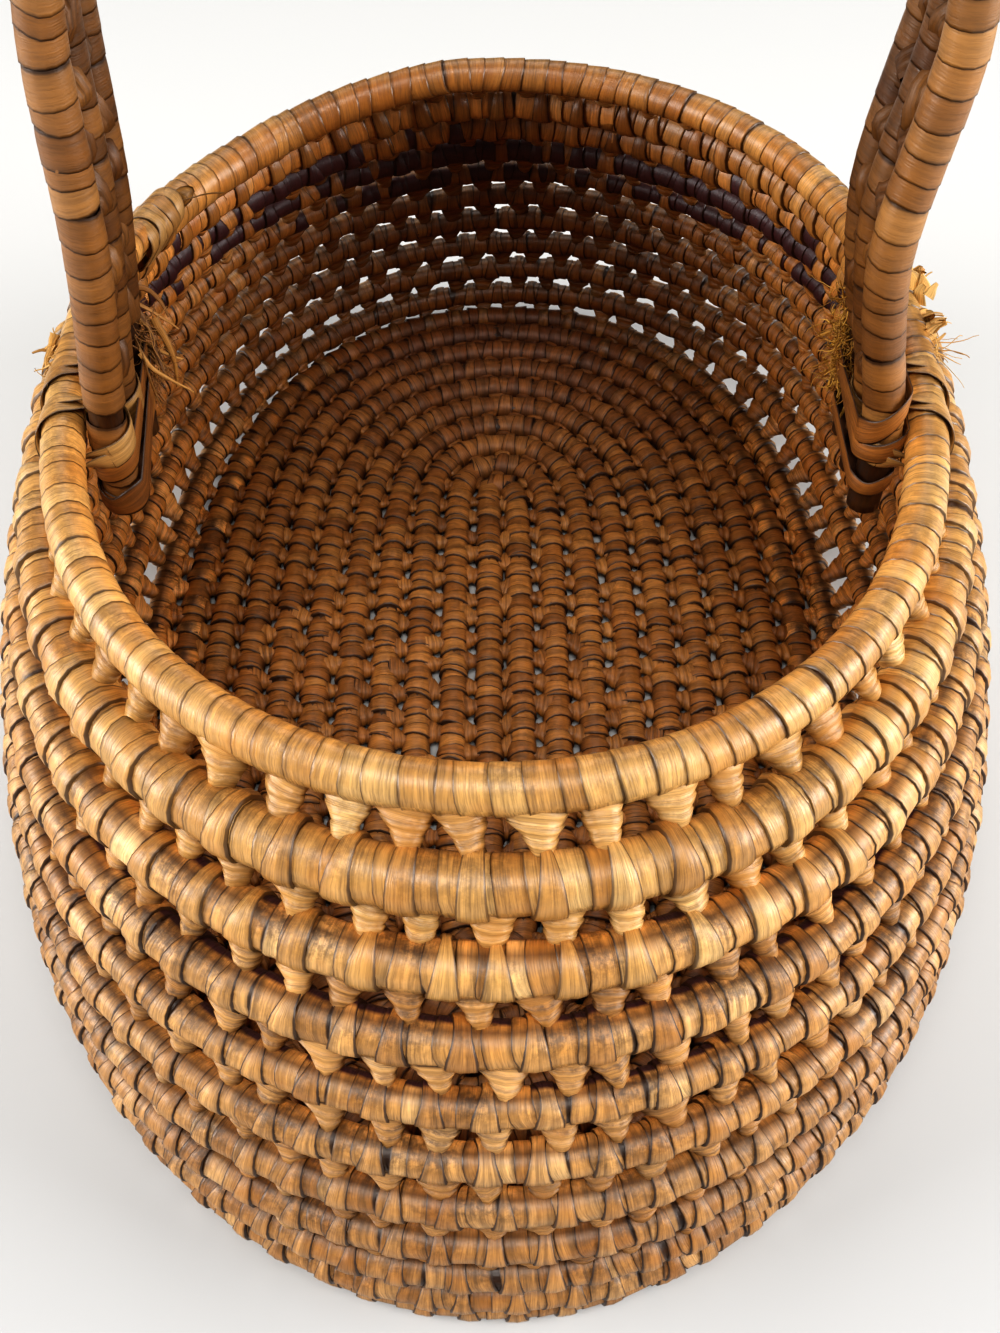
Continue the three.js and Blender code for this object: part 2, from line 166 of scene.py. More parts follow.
def oval_at(course):
    """Half width, half length, height and roundness of the coil's oval at a course."""
    if course < 0:
        turns = course + FLOOR_TURNS
        roundness = lerp(START_ROUNDNESS, WALL_ROUNDNESS, turns / FLOOR_TURNS)
        return turns * SIDE_PITCH, START_HALF_LENGTH + turns * END_PITCH, BASE_HEIGHT, roundness
    height = course_height(course)
    half_width = half_size(height, BASE_HALF_WIDTH, **SIDES)
    half_length = half_size(height, BASE_HALF_LENGTH, **ENDS)
    return half_width, half_length, BASE_HEIGHT + height, WALL_ROUNDNESS


def oval_point(oval, angle):
    half_width, half_length, height, roundness = oval
    sine = math.sin(angle)
    stretch = sine * math.sqrt((1 + roundness ** 2) / (sine ** 2 + roundness ** 2))
    y = half_width * sine + (half_length - half_width) * stretch
    return np.array([half_width * math.cos(angle), y, height])


def coil_radius(course):
    courses = (0, 1, THICKENS_FROM, SHOULDER_COURSE, WALL_TURNS)
    sizes = (FLOOR_COIL, WALL_COIL, WALL_COIL, SHOULDER_COIL, RIM_COIL)
    return float(np.interp(course, courses, sizes)) / 2


def course_at(turn):
    whole = math.floor(turn)
    stretch = CLIMB_SHARE ** max((whole - EVEN_TURN) / (WALL_TURNS - 1 - EVEN_TURN), 0)
    middle = 0.5 + CLIMB_LAG * (1 - stretch)
    climb = clamp((turn - whole - middle) / stretch + 0.5)
    return min(whole + climb, WALL_TURNS)


def coil_angle(turn):
    return CLIMB_ANGLE - FULL_TURN * (turn - 0.5)


def tail_share(turn):
    return clamp((turn - TAIL_TURN) / (RIM_TOP_TURN - TAIL_TURN))


def coil_point(turn):
    course = course_at(turn)
    point = oval_point(oval_at(course), coil_angle(turn))
    point[2] -= TAIL_DROP * tail_share(turn)
    return point


# Girth of the wrapped coil against the bare solid's, by course
SWELL = ([-10, -1, 0, 1, 8, 9, 10], [0.92, 0.92, 0.95, 0.98, 0.98, 1.0, 1.08])
NEAR_SWELL = 0.06
NEAR_SWELL_FROM = 6
FAR_SLIM = 0.18
FAR_SLIM_TO = 7


def coil_girth(turn):
    course = course_at(turn)
    near = -math.sin(coil_angle(turn))
    swell = NEAR_SWELL * near * clamp(course - NEAR_SWELL_FROM)
    slim = FAR_SLIM * clamp(-near) * clamp(course) * clamp(FAR_SLIM_TO - course)
    girth = coil_radius(course) * float(np.interp(course, *SWELL)) * (1 + (swell - slim))
    return lerp(girth, TAIL_TIP / 2, tail_share(turn))


def coil_run(turn, nudge=0.001):
    return unit(coil_point(turn + nudge) - coil_point(turn - nudge))


def rim_reach(place):
    """How far out the rim is at a place along the basket."""
    oval, low, high = oval_at(WALL_TURNS), -math.pi / 2, math.pi / 2
    for _ in range(HALVINGS):
        middle = (low + high) / 2
        low, high = (middle, high) if oval_point(oval, middle)[1] < place else (low, middle)
    return oval_point(oval, low)[0]


LEG_REACH = rim_reach(ROD_PLACES["front"]) - RIM_COIL / 2 - ROD / 2 - ROD_SEAT


def leg_point(side, rise):
    out = OUTWARD[side]
    waist = lerp(out * LEG_REACH, WAIST_SHIFT + out * WAIST_HALF_SPAN, clamp(rise / WAIST_RISE))
    shoulder = ARCH_SHIFT + out * SHOULDER_HALF_SPAN
    x = lerp(waist, shoulder, clamp((rise - WAIST_RISE) / (SHOULDER_RISE - WAIST_RISE)))
    return np.array([x, 0, RIM_LEVEL + rise])


def arch_point(angle):
    rise = SHOULDER_RISE + (HANDLE_RISE - SHOULDER_RISE) * math.sin(angle)
    return np.array([ARCH_SHIFT - SHOULDER_HALF_SPAN * math.cos(angle), 0, RIM_LEVEL + rise])


def rounded_line(knots, steps=24):
    """Points of a smooth line through knots, whose bends depend on how far apart they are."""
    posts = [2 * knots[0] - knots[1], *knots, 2 * knots[-1] - knots[-2]]
    points = []
    for p0, p1, p2, p3 in zip(posts, posts[1:], posts[2:], posts[3:]):
        d0, d1, d2 = (math.sqrt(np.linalg.norm(b - a)) for a, b in ((p0, p1), (p1, p2), (p2, p3)))
        start = ((p1 - p0) / d0 - (p2 - p0) / (d0 + d1) + (p2 - p1) / d1) * d1
        end = ((p2 - p1) / d1 - (p3 - p1) / (d1 + d2) + (p3 - p2) / d2) * d1
        for step in range(steps):
            t = step / steps
            bend = (2 * p1 - 2 * p2 + start + end) * t ** 3
            bend = bend + (3 * p2 - 3 * p1 - 2 * start - end) * t ** 2
            points.append(p1 + start * t + bend)
    points.append(knots[-1])
    return np.array(points)


def lengths_along(line):
    return np.concatenate([[0], np.cumsum(np.linalg.norm(np.diff(line, axis=0), axis=1))])


LEG_RISES = (-FOOT_DEPTH, 0, WAIST_RISE, SHOULDER_RISE)
ARCH_SHARES = (1 / 8, 1 / 4, 1 / 2, 3 / 4, 7 / 8)
ROD_LINE = rounded_line([
    *(leg_point("left", rise) for rise in LEG_RISES),
    *(arch_point(math.pi * share) for share in ARCH_SHARES),
    *(leg_point("right", rise) for rise in reversed(LEG_RISES)),
])
ROD_REACHED = lengths_along(ROD_LINE)
ROD_LENGTH = float(ROD_REACHED[-1])


def rod_point(length, place):
    point = np.array([np.interp(length, ROD_REACHED, ROD_LINE[:, axis]) for axis in range(3)])
    point[1] = place
    return point


def rod_run(length, place, nudge=0.5):
    ahead = rod_point(min(length + nudge, ROD_LENGTH), place)
    return unit(ahead - rod_point(max(length - nudge, 0), place))


# Meshes

def new_object(name, mesh):
    piece = bpy.data.objects.new(name, mesh)
    scene.collection.objects.link(piece)
    return piece


def flat(values):
    return np.array(values, np.float32).ravel()


def skin_mesh(name, bands, around=None, lengthwise=True):
    """Surfaces through rings of points. Each band is its rings and how far along each one lies.

    The UV map follows the fibres, from ring to ring or else round the rings.
    """
    sides = len(bands[0][0][0])
    around = around or [side / sides for side in range(sides + 1)]
    points, faces, uvs = [], [], []
    for rows, along in bands:
        first = len(points)
        points += [tuple(point) for row in rows for point in row]
        for span in range(len(rows) - 1):
            here, after = first + span * sides, first + (span + 1) * sides
            for side in range(sides):
                beside = (side + 1) % sides
                faces.append((here + side, here + beside, after + beside, after + side))
                corners = [(side, span), (side + 1, span), (side + 1, span + 1), (side, span + 1)]
                places = [(around[x], along[y]) for x, y in corners]
                uvs += places if lengthwise else [(y, x) for x, y in places]
    mesh = bpy.data.meshes.new(name)
    mesh.from_pydata(points, [], faces)
    mesh.uv_layers.new(name="strip").data.foreach_set("uv", flat(uvs))
    mesh.polygons.foreach_set("use_smooth", [True] * len(faces))
    mesh.update()
    return mesh


def ripple(draw, waves, depth):
    """A seeded wavy function of an angle."""
    parts = [(wave, draw.uniform(0, FULL_TURN), draw.uniform(-depth, depth)) for wave in waves]
    return lambda angle: sum(size * math.sin(wave * angle + phase) for wave, phase, size in parts)


def ring_mesh(name, across, sides, reach):
    """A band of oval rings. A function of the ring and the angle gives two radii and a place along."""
    rows = [[] for _ in across]
    for ring, row in enumerate(rows):
        for side in range(sides):
            angle = FULL_TURN * side / sides
            width, depth, along = reach(ring, angle)
            row.append((width * math.cos(angle), depth * math.sin(angle), along))
    return skin_mesh(name, [(rows, across)], lengthwise=False)


WRAP_SIDES = 14
KNOT_SIDES = 12
SHAPE_COUNT = 8
CREASE_WIDTH = 0.16
EDGE_SINK = -0.22
PLEAT_DEPTH = 0.02
WING_CURVE = 1.6


def wrap_shape(name, draw, lift, bulge, tuck, lean, facing):
    """One turn of strip round a coil of radius 1: tucked under at -Z, with a free edge at +Z.

    It leans along the coil, most as it is seen from the facing angle.
    """
    places = [-0.62, -0.42, -0.15, 0.18, 0.4, 0.5, 0.49]
    across = [0, 0.16, 0.4, 0.68, 0.87, 0.95, 1.0]
    lifts = [-tuck, -tuck / 3, 0.0, 0.4 * lift, 0.8 * lift, lift, EDGE_SINK]
    bulges = [0, 0.5, 1.0, 0.9, 0.3, 0, 0]
    edge = ripple(draw, (1, 2, 3), 0.045)
    dent = ripple(draw, (2, 3, 5), 0.004)
    crease = draw.uniform(0, FULL_TURN)
    raised = draw.uniform(0.0, 0.02)
    lean = lean * draw.uniform(-0.5, 2.2)

    def reach(ring, angle):
        fold = raised * math.exp(-((math.sin((angle - crease) / 2) / CREASE_WIDTH) ** 2))
        radius = 1 + lifts[ring] + bulge * bulges[ring] + dent(angle) + fold * across[ring]
        along = places[ring] + edge(angle) * across[ring] + lean * math.sin(angle - facing)
        return radius, radius, along

    return ring_mesh(name, across, WRAP_SIDES, reach)


def petal_shape(name, draw):
    """A stitch round the lower coil of radius 1: pinched where it comes down, at +X, and wide under it."""
    across = [0, 0.03, 0.14, 0.32, 0.5, 0.68, 0.86, 0.97, 1.0]
    heights = [-0.1, 0.12, 0.15, 0.17, 0.18, 0.17, 0.15, 0.12, -0.1]
    pinch = draw.uniform(0.3, 0.5)
    lean = draw.uniform(-0.3, 0.3)
    edge = ripple(draw, (1, 2, 3), 0.05)
    pleats = draw.choice([2, 3, 4])

    def reach(ring, angle):
        share = across[ring]
        spread = (0.5 - 0.5 * math.cos(angle)) ** 0.7
        width = lerp(pinch, 1.0, spread)
        pleat = PLEAT_DEPTH * math.cos(pleats * FULL_TURN * share) * (1 - abs(2 * share - 1))
        radius = 1 + heights[ring] * lerp(1.25, 1.0, spread) + pleat
        place = (share - 0.5) * width + lean * math.sin(angle) * 0.3 + edge(angle) * (share - 0.5)
        return radius, radius, place

    return ring_mesh(name, across, WRAP_SIDES, reach)


def knot_shape(name, draw):
    """The wrapped neck of a stitch between two coils: a wing towards the top, at +Z, and drawn in below."""
    heights = [0, 0.14, 0.27, 0.28, 0.43, 0.57, 0.58, 0.76, 0.92, 1.0]
    widths = [0.32, 0.38, 0.43, 0.37, 0.48, 0.54, 0.47, 0.59, 0.66, 0.6]
    across = [0.15, 0.55, 0.92, 0.15, 0.55, 0.92, 0.15, 0.55, 0.9, 1.0]
    wing = draw.uniform(0.15, 0.8)
    waist = draw.uniform(0.85, 1.15)
    dent = ripple(draw, (2, 3), 0.035)
    slant = draw.uniform(-0.12, 0.16)
    wave = ripple(draw, (1, 2, 3), 0.035)

    def reach(ring, angle):
        share, half_width = heights[ring], widths[ring]
        width = half_width * (waist if share < 0.5 else 1) + dent(angle)
        if math.cos(angle) > 0:
            width += wing * share ** WING_CURVE
        depth = lerp(0.36, 0.46, share) + dent(angle) + (half_width - lerp(0.34, 0.62, share))
        rise = share - 0.5 + slant * math.cos(angle) * share + wave(angle) * (1 - share)
        return width, depth, rise

    return ring_mesh(name, across, KNOT_SIDES, reach)


def shape_set(name, make, *values, seed):
    """A collection of a few seeded variants of one shape, for the tree to pick from."""
    draw = np.random.default_rng(seed)
    holder = bpy.data.collections.new(name)
    for index in range(SHAPE_COUNT):
        label = f"{name}_{index}"
        holder.objects.link(bpy.data.objects.new(label, make(label, draw, *values)))
    return holder


# Geometry Nodes: shapes set along a path

def set_inputs(inputs, values):
    """Links each input to a socket, or sets it to a value."""
    for key, value in values.items():
        if isinstance(value, bpy.types.NodeSocket):
            value.id_data.links.new(value, inputs[key])
        else:
            inputs[key].default_value = value


def add_node(kind, inputs=None, tree=None, **settings):
    """The outputs of a new node. Its tree is that of the first socket among its inputs, if not given."""
    inputs = inputs or {}
    if tree is None:
        tree = next(value.id_data for value in inputs.values() if isinstance(value, bpy.types.NodeSocket))
    node = tree.nodes.new(kind)
    for key, value in settings.items():
        setattr(node, key, value)
    set_inputs(node.inputs, inputs)
    return node.outputs


def new_group(name, inputs, outputs, kind="ShaderNodeTree"):
    tree = bpy.data.node_groups.new(name, kind)
    for direction, sockets in (("INPUT", inputs), ("OUTPUT", outputs)):
        for label, socket in sockets.items():
            tree.interface.new_socket(name=label, in_out=direction, socket_type=f"NodeSocket{socket}")
    return tree, tree.nodes.new("NodeGroupInput").outputs, tree.nodes.new("NodeGroupOutput").inputs


def math_node(operation, *values):
    return add_node("ShaderNodeMath", dict(enumerate(values)), operation=operation)[0]


def vector_node(operation, *values):
    outputs = add_node("ShaderNodeVectorMath", dict(enumerate(values)), operation=operation)
    return outputs["Value" if operation == "DOT_PRODUCT" else "Vector"]


RANDOM_SOCKETS = {"FLOAT_VECTOR": (0, 1, 0), "FLOAT": (2, 3, 1), "INT": (4, 5, 2)}


def random_node(kind, low, high, seed):
    first, second, result = RANDOM_SOCKETS[kind]
    inputs = {first: low, second: high, "Seed": seed}
    return add_node("FunctionNodeRandomValue", inputs, data_type=kind)[result]


def store_node(geometry, name, value):
    inputs = {"Geometry": geometry, "Name": name, "Value": value}
    return add_node("GeometryNodeStoreNamedAttribute", inputs, data_type="FLOAT", domain="POINT")[0]


PATH_VECTORS = ("spine", "run", "side", "out", "stretch")
SET_INPUTS = {
    "Geometry": "Geometry", "Shapes": "Collection", "Strip": "Material", "Pitch": "Float",
    "Wander": "Float", "Sway": "Float", "Unevenness": "Float", "Seed": "Int",
}
SET_OUTPUTS = {"Geometry": "Geometry"}


def build_setting_tree():
    """Sets shapes along the path at a pitch, turned and sized by the path's attributes."""
    tree, given, result = new_group("strips_along_path", SET_INPUTS, SET_OUTPUTS, "GeometryNodeTree")
    drift_seed, tone_seed, stain_seed, sway_seed, size_seed, shape_seed = (
        math_node("ADD", given["Seed"], extra) for extra in (0, 1, 2, 3, 5, 6))
    path = {key: add_node("GeometryNodeInputNamedAttribute", {"Name": key}, tree,
                          data_type="FLOAT_VECTOR")["Attribute"] for key in PATH_VECTORS}
    curve = add_node("GeometryNodeMeshToCurve", {"Mesh": given["Geometry"]})[0]
    spaced = add_node("GeometryNodeResampleCurve", {"Curve": curve, "Length": given["Pitch"]},
                      mode="LENGTH")[0]
    track = add_node("GeometryNodeInputTangent", tree=tree)[0]
    wander = math_node("MULTIPLY", given["Wander"], given["Pitch"])
    drift = math_node("MULTIPLY", random_node("FLOAT", -0.5, 0.5, drift_seed), wander)
    placed = add_node("GeometryNodeSetPosition", {
        "Geometry": spaced, "Position": path["spine"], "Offset": vector_node("MULTIPLY", track, drift)})[0]
    for name, seed in (("tone", tone_seed), ("stain", stain_seed)):
        placed = store_node(placed, name, random_node("FLOAT", 0.0, 1.0, seed))
    facing = add_node("FunctionNodeAxesToRotation", {
        "Primary Axis": path["run"], "Secondary Axis": path["side"]}, primary_axis="Z", secondary_axis="X")[0]
    shakes = (random_node("FLOAT_VECTOR", (-1, -1, -1), (1, 1, 1), seed) for seed in (sway_seed, size_seed))
    sway, uneven = (vector_node("MULTIPLY", shake, given[most])
                    for shake, most in zip(shakes, ("Sway", "Unevenness")))
    swaying = add_node("FunctionNodeEulerToRotation", {"Euler": sway})[0]
    turned = add_node("FunctionNodeRotateRotation", {0: facing, 1: swaying}, rotation_space="LOCAL")[0]
    size = vector_node("MULTIPLY", path["stretch"], vector_node("ADD", uneven, (1, 1, 1)))
    shapes = add_node("GeometryNodeCollectionInfo", {
        "Collection": given["Shapes"], "Separate Children": True, "Reset Children": True})[0]
    strips = add_node("GeometryNodeInstanceOnPoints", {
        "Points": placed, "Instance": shapes, "Pick Instance": True, "Rotation": turned, "Scale": size,
        "Instance Index": random_node("INT", 0, SHAPE_COUNT - 1, shape_seed)})[0]
    solid = add_node("GeometryNodeRealizeInstances", {"Geometry": strips})[0]
    here = add_node("GeometryNodeInputPosition", tree=tree)[0]
    away = vector_node("NORMALIZE", vector_node("SUBTRACT", here, path["spine"]))
    solid = store_node(solid, "outward", vector_node("DOT_PRODUCT", away, path["out"]))
    done = add_node("GeometryNodeSetMaterial", {"Geometry": solid, "Material": given["Strip"]})[0]
    set_inputs(result, {0: done})
    return tree


SETTING_TREE = build_setting_tree()
SOCKETS = {item.name: item.identifier for item in SETTING_TREE.interface.items_tree if item.in_out == "INPUT"}
FLOOR_LEVEL = 0.1 * MM


def strip_station(*vectors, dye=0.0):
    """Where one strip goes: its place, three directions, its size and its chance of being dyed."""
    return dict(zip(PATH_VECTORS, vectors), dye=dye)


def path_mesh(name, stations):
    """A line of points that carries what the tree needs to turn and size each shape."""
    mesh = bpy.data.meshes.new(name)
    points = [station["spine"] * MM for station in stations]
    mesh.from_pydata(points, [(index, index + 1) for index in range(len(points) - 1)], [])
    for key in PATH_VECTORS:
        layer = mesh.attributes.new(key, "FLOAT_VECTOR", "POINT")
        factor = MM if key in ("spine", "stretch") else 1
        layer.data.foreach_set("vector", flat([station[key] for station in stations]) * factor)
    layer = mesh.attributes.new("dye", "FLOAT", "POINT")
    layer.data.foreach_set("value", flat([station["dye"] for station in stations]))
    return mesh


def finish_piece(piece, node):
    """Presses a piece flat where the basket stands, sets it on the basket's body and hides the solid part it
    stands for.
    """
    points = np.empty(3 * len(piece.data.vertices), np.float32)
    piece.data.vertices.foreach_get("co", points)
    points[2::3] = np.maximum(points[2::3], FLOOR_LEVEL)
    piece.data.vertices.foreach_set("co", points)
    piece.data.update()
    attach(piece, "root")
    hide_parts(node)


def set_strips(name, slot, node, stations, shapes, material, **values):
    """A piece of strips set along a path, as a plain mesh."""
    piece = new_object(name, path_mesh(name, stations))
    modifier = piece.modifiers.new("strips", "NODES")
    modifier.node_group = SETTING_TREE
    for key, value in {"Shapes": shapes, "Strip": material, **values}.items():
        modifier[SOCKETS[key]] = value
    piece.update_tag()
    graph = bpy.context.evaluated_depsgraph_get()
    mesh = bpy.data.meshes.new_from_object(piece.evaluated_get(graph), depsgraph=graph)
    piece.modifiers.clear()
    piece.data = mesh
    for key in PATH_VECTORS:
        mesh.attributes.remove(mesh.attributes[key])
    finish_piece(piece, node)


# Shader groups and materials

def srgb(red, green, blue):
    """A colour as the eye reads it, from 0 to 255, as the shader's linear values."""
    parts = [value / 255 for value in (red, green, blue)]
    return [*(p / 12.92 if p <= 0.04045 else ((p + 0.055) / 1.055) ** 2.4 for p in parts), 1.0]


def ramp_node(factor, stops):
    result = add_node("ShaderNodeValToRGB", {"Fac": factor})["Color"]
    ramp = result.node.color_ramp
    while len(ramp.elements) < len(stops):
        ramp.elements.new(0.5)
    for element, (place, colour) in zip(ramp.elements, stops):
        element.position = place
        element.color = colour if isinstance(colour, (list, tuple)) else (colour, colour, colour, 1)
    return result


def mix_node(factor, first, second, blend="MIX"):
    inputs = {0: factor, 6: first, 7: second}
    return add_node("ShaderNodeMix", inputs, data_type="RGBA", blend_type=blend)[2]


def tint_node(colour, mask, amount, shade, blend="MIX"):
    return mix_node(math_node("MULTIPLY", mask, amount), colour, shade, blend)


def noise_node(vector, scale, detail=3.0, roughness=0.55):
    inputs = {"Vector": vector, "Scale": scale, "Detail": detail, "Roughness": roughness}
    return add_node("ShaderNodeTexNoise", inputs)["Fac"]


def range_node(value, low, high, new_low=0.0, new_high=1.0):
    inputs = {"Value": value, "From Min": low, "From Max": high, "To Min": new_low, "To Max": new_high}
    return add_node("ShaderNodeMapRange", inputs)[0]


def build_fibre_group():
    """Fine lines along a strip, broader bands of tone, a dark line at each edge that is partly the strip's
    own and partly painted shade where wraps overlap, and painted shade towards the edges.
    """
    outputs = dict.fromkeys(("Lines", "Bands", "EdgeAndCreaseShade", "PillowShade"), "Float")
    tree, given, result = new_group("leaf_fibre", {"Strip": "Vector", "Tone": "Float"}, outputs)
    parts = add_node("ShaderNodeSeparateXYZ", {0: given["Strip"]})
    shift = math_node("MULTIPLY", given["Tone"], 57.0)
    along = math_node("MULTIPLY", parts["Y"], 0.22)
    fine = add_node("ShaderNodeCombineXYZ", {"X": parts["X"], "Y": along, "Z": shift})[0]
    middle = math_node("ABSOLUTE", math_node("SUBTRACT", parts["X"], 0.5))
    rough = math_node("MULTIPLY_ADD", noise_node(fine, 9.0), 0.06, middle)
    set_inputs(result, {
        "Lines": noise_node(fine, 22.0, 3.0, 0.6),
        "Bands": noise_node(fine, 4.5, 2.0, 0.5),
        "EdgeAndCreaseShade": range_node(rough, 0.43, 0.475),
        # Painted shade: each strip darker towards its edges, as if rounded
        "PillowShade": range_node(middle, 0.26, 0.48, 1.0, 0.72),
    })
    return tree


def build_grime_and_shade_group():
    """Patches of stain, dirt on what faces up, darkening where the basket is low, and painted shade at its
    far end.
    """
    outputs = dict.fromkeys(("Stain", "Dirt", "Low", "FarShade"), "Float")
    tree, given, result = new_group("handling_grime_and_shade", {"Position": "Vector", "Normal": "Vector"}, outputs)
    position = given["Position"]
    place = add_node("ShaderNodeSeparateXYZ", {0: position})
    upward = add_node("ShaderNodeSeparateXYZ", {0: given["Normal"]})["Z"]
    speckle = range_node(noise_node(position, 520.0, 4.0, 0.7), 0.4, 0.58)
    cloud = range_node(noise_node(position, 80.0, 2.0, 0.5), 0.36, 0.6)
    patch = math_node("MULTIPLY", speckle, cloud)
    set_inputs(result, {
        "Stain": range_node(noise_node(position, 75.0, 3.0, 0.6), 0.5, 0.68),
        "Dirt": math_node("MULTIPLY", patch, range_node(upward, 0.15, 0.9)),
        "Low": range_node(place["Z"], 0.125, 0.045),
        # Painted shade: the basket's far end, which the lamps reach less
        "FarShade": range_node(place["Y"], 0.08, 0.17),
    })
    return tree


def new_material(name):
    """A material and the inputs of its surface."""
    material = bpy.data.materials.new(name)
    material.use_nodes = True
    return material, material.node_tree.nodes["Principled BSDF"].inputs


def read_attribute(tree, name):
    return add_node("ShaderNodeAttribute", tree=tree, attribute_name=name)["Fac"]


FIBRE_GROUP = build_fibre_group()
GRIME_AND_SHADE_GROUP = build_grime_and_shade_group()

# Dark strip edges: partly the leaf's own colour, partly painted shade in the creases between wraps
EDGE_AND_CREASE_BROWN = srgb(40, 20, 8)
STAIN_ORANGE = srgb(188, 128, 56)
DIRT_BROWN = srgb(50, 32, 18)
LOW_SHADE = (0.58, 0.51, 0.47, 1)
# Colour of the painted shade in the seams between courses
SEAM_SHADE = (0.26, 0.19, 0.14, 1)
# Colour of the painted shade at the basket's far end
FAR_PAINTED_SHADE = (0.42, 0.29, 0.18, 1)
DYE_PURPLE = srgb(72, 38, 40)


def strip_material(name, *colours, dirt=0.65, stain=0.4, edge=0.9, low=0.0, far=0.0, seam_shading=0.0,
                   facing=(0.6, 0.0), grain=0.55, bands=0.8, inner_painted_light=None, dyed=False, roughness=0.42):
    """Dry leaf strip: each wrap has its own tone, with fibre lines, stains and dirt, and painted light and
    shade in the seams, towards each strip's edges, on the inner side and at the far end.
    """
    material, surface = new_material(name)
    tree = material.node_tree
    tone = read_attribute(tree, "tone")
    strip = add_node("ShaderNodeUVMap", tree=tree, uv_map="strip")[0]
    fibre = add_node("ShaderNodeGroup", {"Strip": strip, "Tone": tone}, node_tree=FIBRE_GROUP)
    position = add_node("ShaderNodeTexCoord", tree=tree)["Object"]
    normal = add_node("ShaderNodeNewGeometry", tree=tree)["Normal"]
    grime_and_shade = add_node("ShaderNodeGroup", {"Position": position, "Normal": normal}, node_tree=GRIME_AND_SHADE_GROUP)
    steps = [(index / (len(colours) - 1), srgb(*colour)) for index, colour in enumerate(colours)]
    colour = ramp_node(tone, steps)
    streaks = ramp_node(fibre["Bands"], [(0.32, 0.58), (0.5, 1.0), (0.68, 1.3)])
    colour = mix_node(bands, colour, streaks, "MULTIPLY")
    lines = ramp_node(fibre["Lines"], [(0.36, 0.38), (0.47, 0.85), (0.56, 1.08), (0.68, 1.3)])
    colour = mix_node(grain, colour, lines, "MULTIPLY")
    # Painted shade: each strip darker towards its edges, as if rounded
    colour = mix_node(1.0, colour, fibre["PillowShade"], "MULTIPLY")
    colour = tint_node(colour, grime_and_shade["Stain"], stain, STAIN_ORANGE)
    outward = read_attribute(tree, "outward")
    if low:
        outside = range_node(outward, -0.3, 0.2, 0.0, low)
        colour = tint_node(colour, grime_and_shade["Low"], outside, LOW_SHADE, "MULTIPLY")
    # Painted shade at the basket's far end
    if far:
        colour = tint_node(colour, grime_and_shade["FarShade"], far, FAR_PAINTED_SHADE, "MULTIPLY")
    # Painted shade in the seams between courses, where the strip turns away from the outward side
    if seam_shading:
        near_seam_shade = range_node(math_node("ABSOLUTE", outward), *facing)
        colour = tint_node(colour, near_seam_shade, seam_shading, SEAM_SHADE, "MULTIPLY")
    # Painted light on the inner side: the inside is made lighter and warmer, blending to the far end's
    # painted shade
    if inner_painted_light:
        shade = mix_node(grime_and_shade["FarShade"], inner_painted_light, FAR_PAINTED_SHADE)
        shaded = mix_node(1.0, colour, shade, "MULTIPLY")
        colour = mix_node(range_node(outward, 0.05, -0.5), colour, shaded)
    if dyed:
        chance = math_node("GREATER_THAN", read_attribute(tree, "dye"), read_attribute(tree, "stain"))
        inside = range_node(outward, -0.25, -0.45)
        dark = mix_node(0.6, DYE_PURPLE, lines, "MULTIPLY")
        colour = tint_node(colour, chance, inside, dark)
    colour = tint_node(colour, grime_and_shade["Dirt"], dirt, DIRT_BROWN)
    # Dark line at each strip edge, partly painted shade in the creases between wraps
    colour = tint_node(colour, fibre["EdgeAndCreaseShade"], edge, EDGE_AND_CREASE_BROWN)
    gloss = range_node(fibre["Lines"], 0.3, 0.7, roughness + 0.14, roughness - 0.08)
    bump = add_node("ShaderNodeBump", {"Strength": 0.35, "Distance": 0.0004, "Height": fibre["Lines"]})[0]
    set_inputs(surface, {
        "Base Color": colour, "Roughness": gloss, "Normal": bump, "Specular IOR Level": 0.65})
    return material


# Tones of each strip, from one end of its range to the other
COIL_STRIP = strip_material(
    "coil_strip", (170, 124, 70), (192, 146, 87), (205, 160, 101), (188, 140, 79), (222, 183, 127),
    low=0.8, seam_shading=0.85, inner_painted_light=(1.4, 1.14, 0.86, 1), dyed=True)
RIM_STRIP = strip_material(
    "rim_strip", (172, 127, 72), (184, 140, 83), (192, 150, 92), (204, 166, 110),
    dirt=0.35, edge=0.7, far=0.85, seam_shading=0.3, bands=0.55, inner_painted_light=(1.1, 0.94, 0.74, 1), roughness=0.36)
FLOOR_STRIP = strip_material(
    "floor_strip", (139, 89, 39), (162, 107, 50), (178, 125, 65), (149, 97, 43),
    dirt=0.3, stain=0.25, far=0.9, seam_shading=0.8, facing=(0.6, 1.0), roughness=0.5)
# Lit and shaded copies of the rod strip: the front rod lighter, the middle and back rods darker, as painted
# light and shade
LIT_FRONT_ROD_STRIP = strip_material(
    "front_rod_lit_strip", (112, 72, 33), (142, 98, 52), (126, 84, 41), (166, 121, 69),
    dirt=0.3, stain=0.2, edge=0.75, grain=0.25, bands=0.4)
SHADED_BACK_ROD_STRIP = strip_material(
    "back_rod_shaded_strip", (88, 53, 22), (116, 76, 35), (101, 65, 29), (140, 96, 49),
    dirt=0.3, stain=0.2, edge=0.75, grain=0.3, bands=0.5)
BUNDLE = strip_material(
    "coil_bundle", (60, 34, 14), (96, 58, 26), (128, 82, 40), dirt=0.2, stain=0.1, edge=0.0)
STRAP_STRIP = strip_material(
    "strap_strip", (112, 68, 30), (150, 98, 46), (130, 82, 36), dirt=0.1, stain=0.4)
FIBRE_TONES = {
    "pale": ((176, 130, 66), (206, 160, 88), (228, 190, 124)),
    "golden": ((160, 108, 30), (196, 144, 50), (218, 170, 78)),
    "brown": ((112, 72, 30), (152, 104, 48), (180, 132, 66)),
}
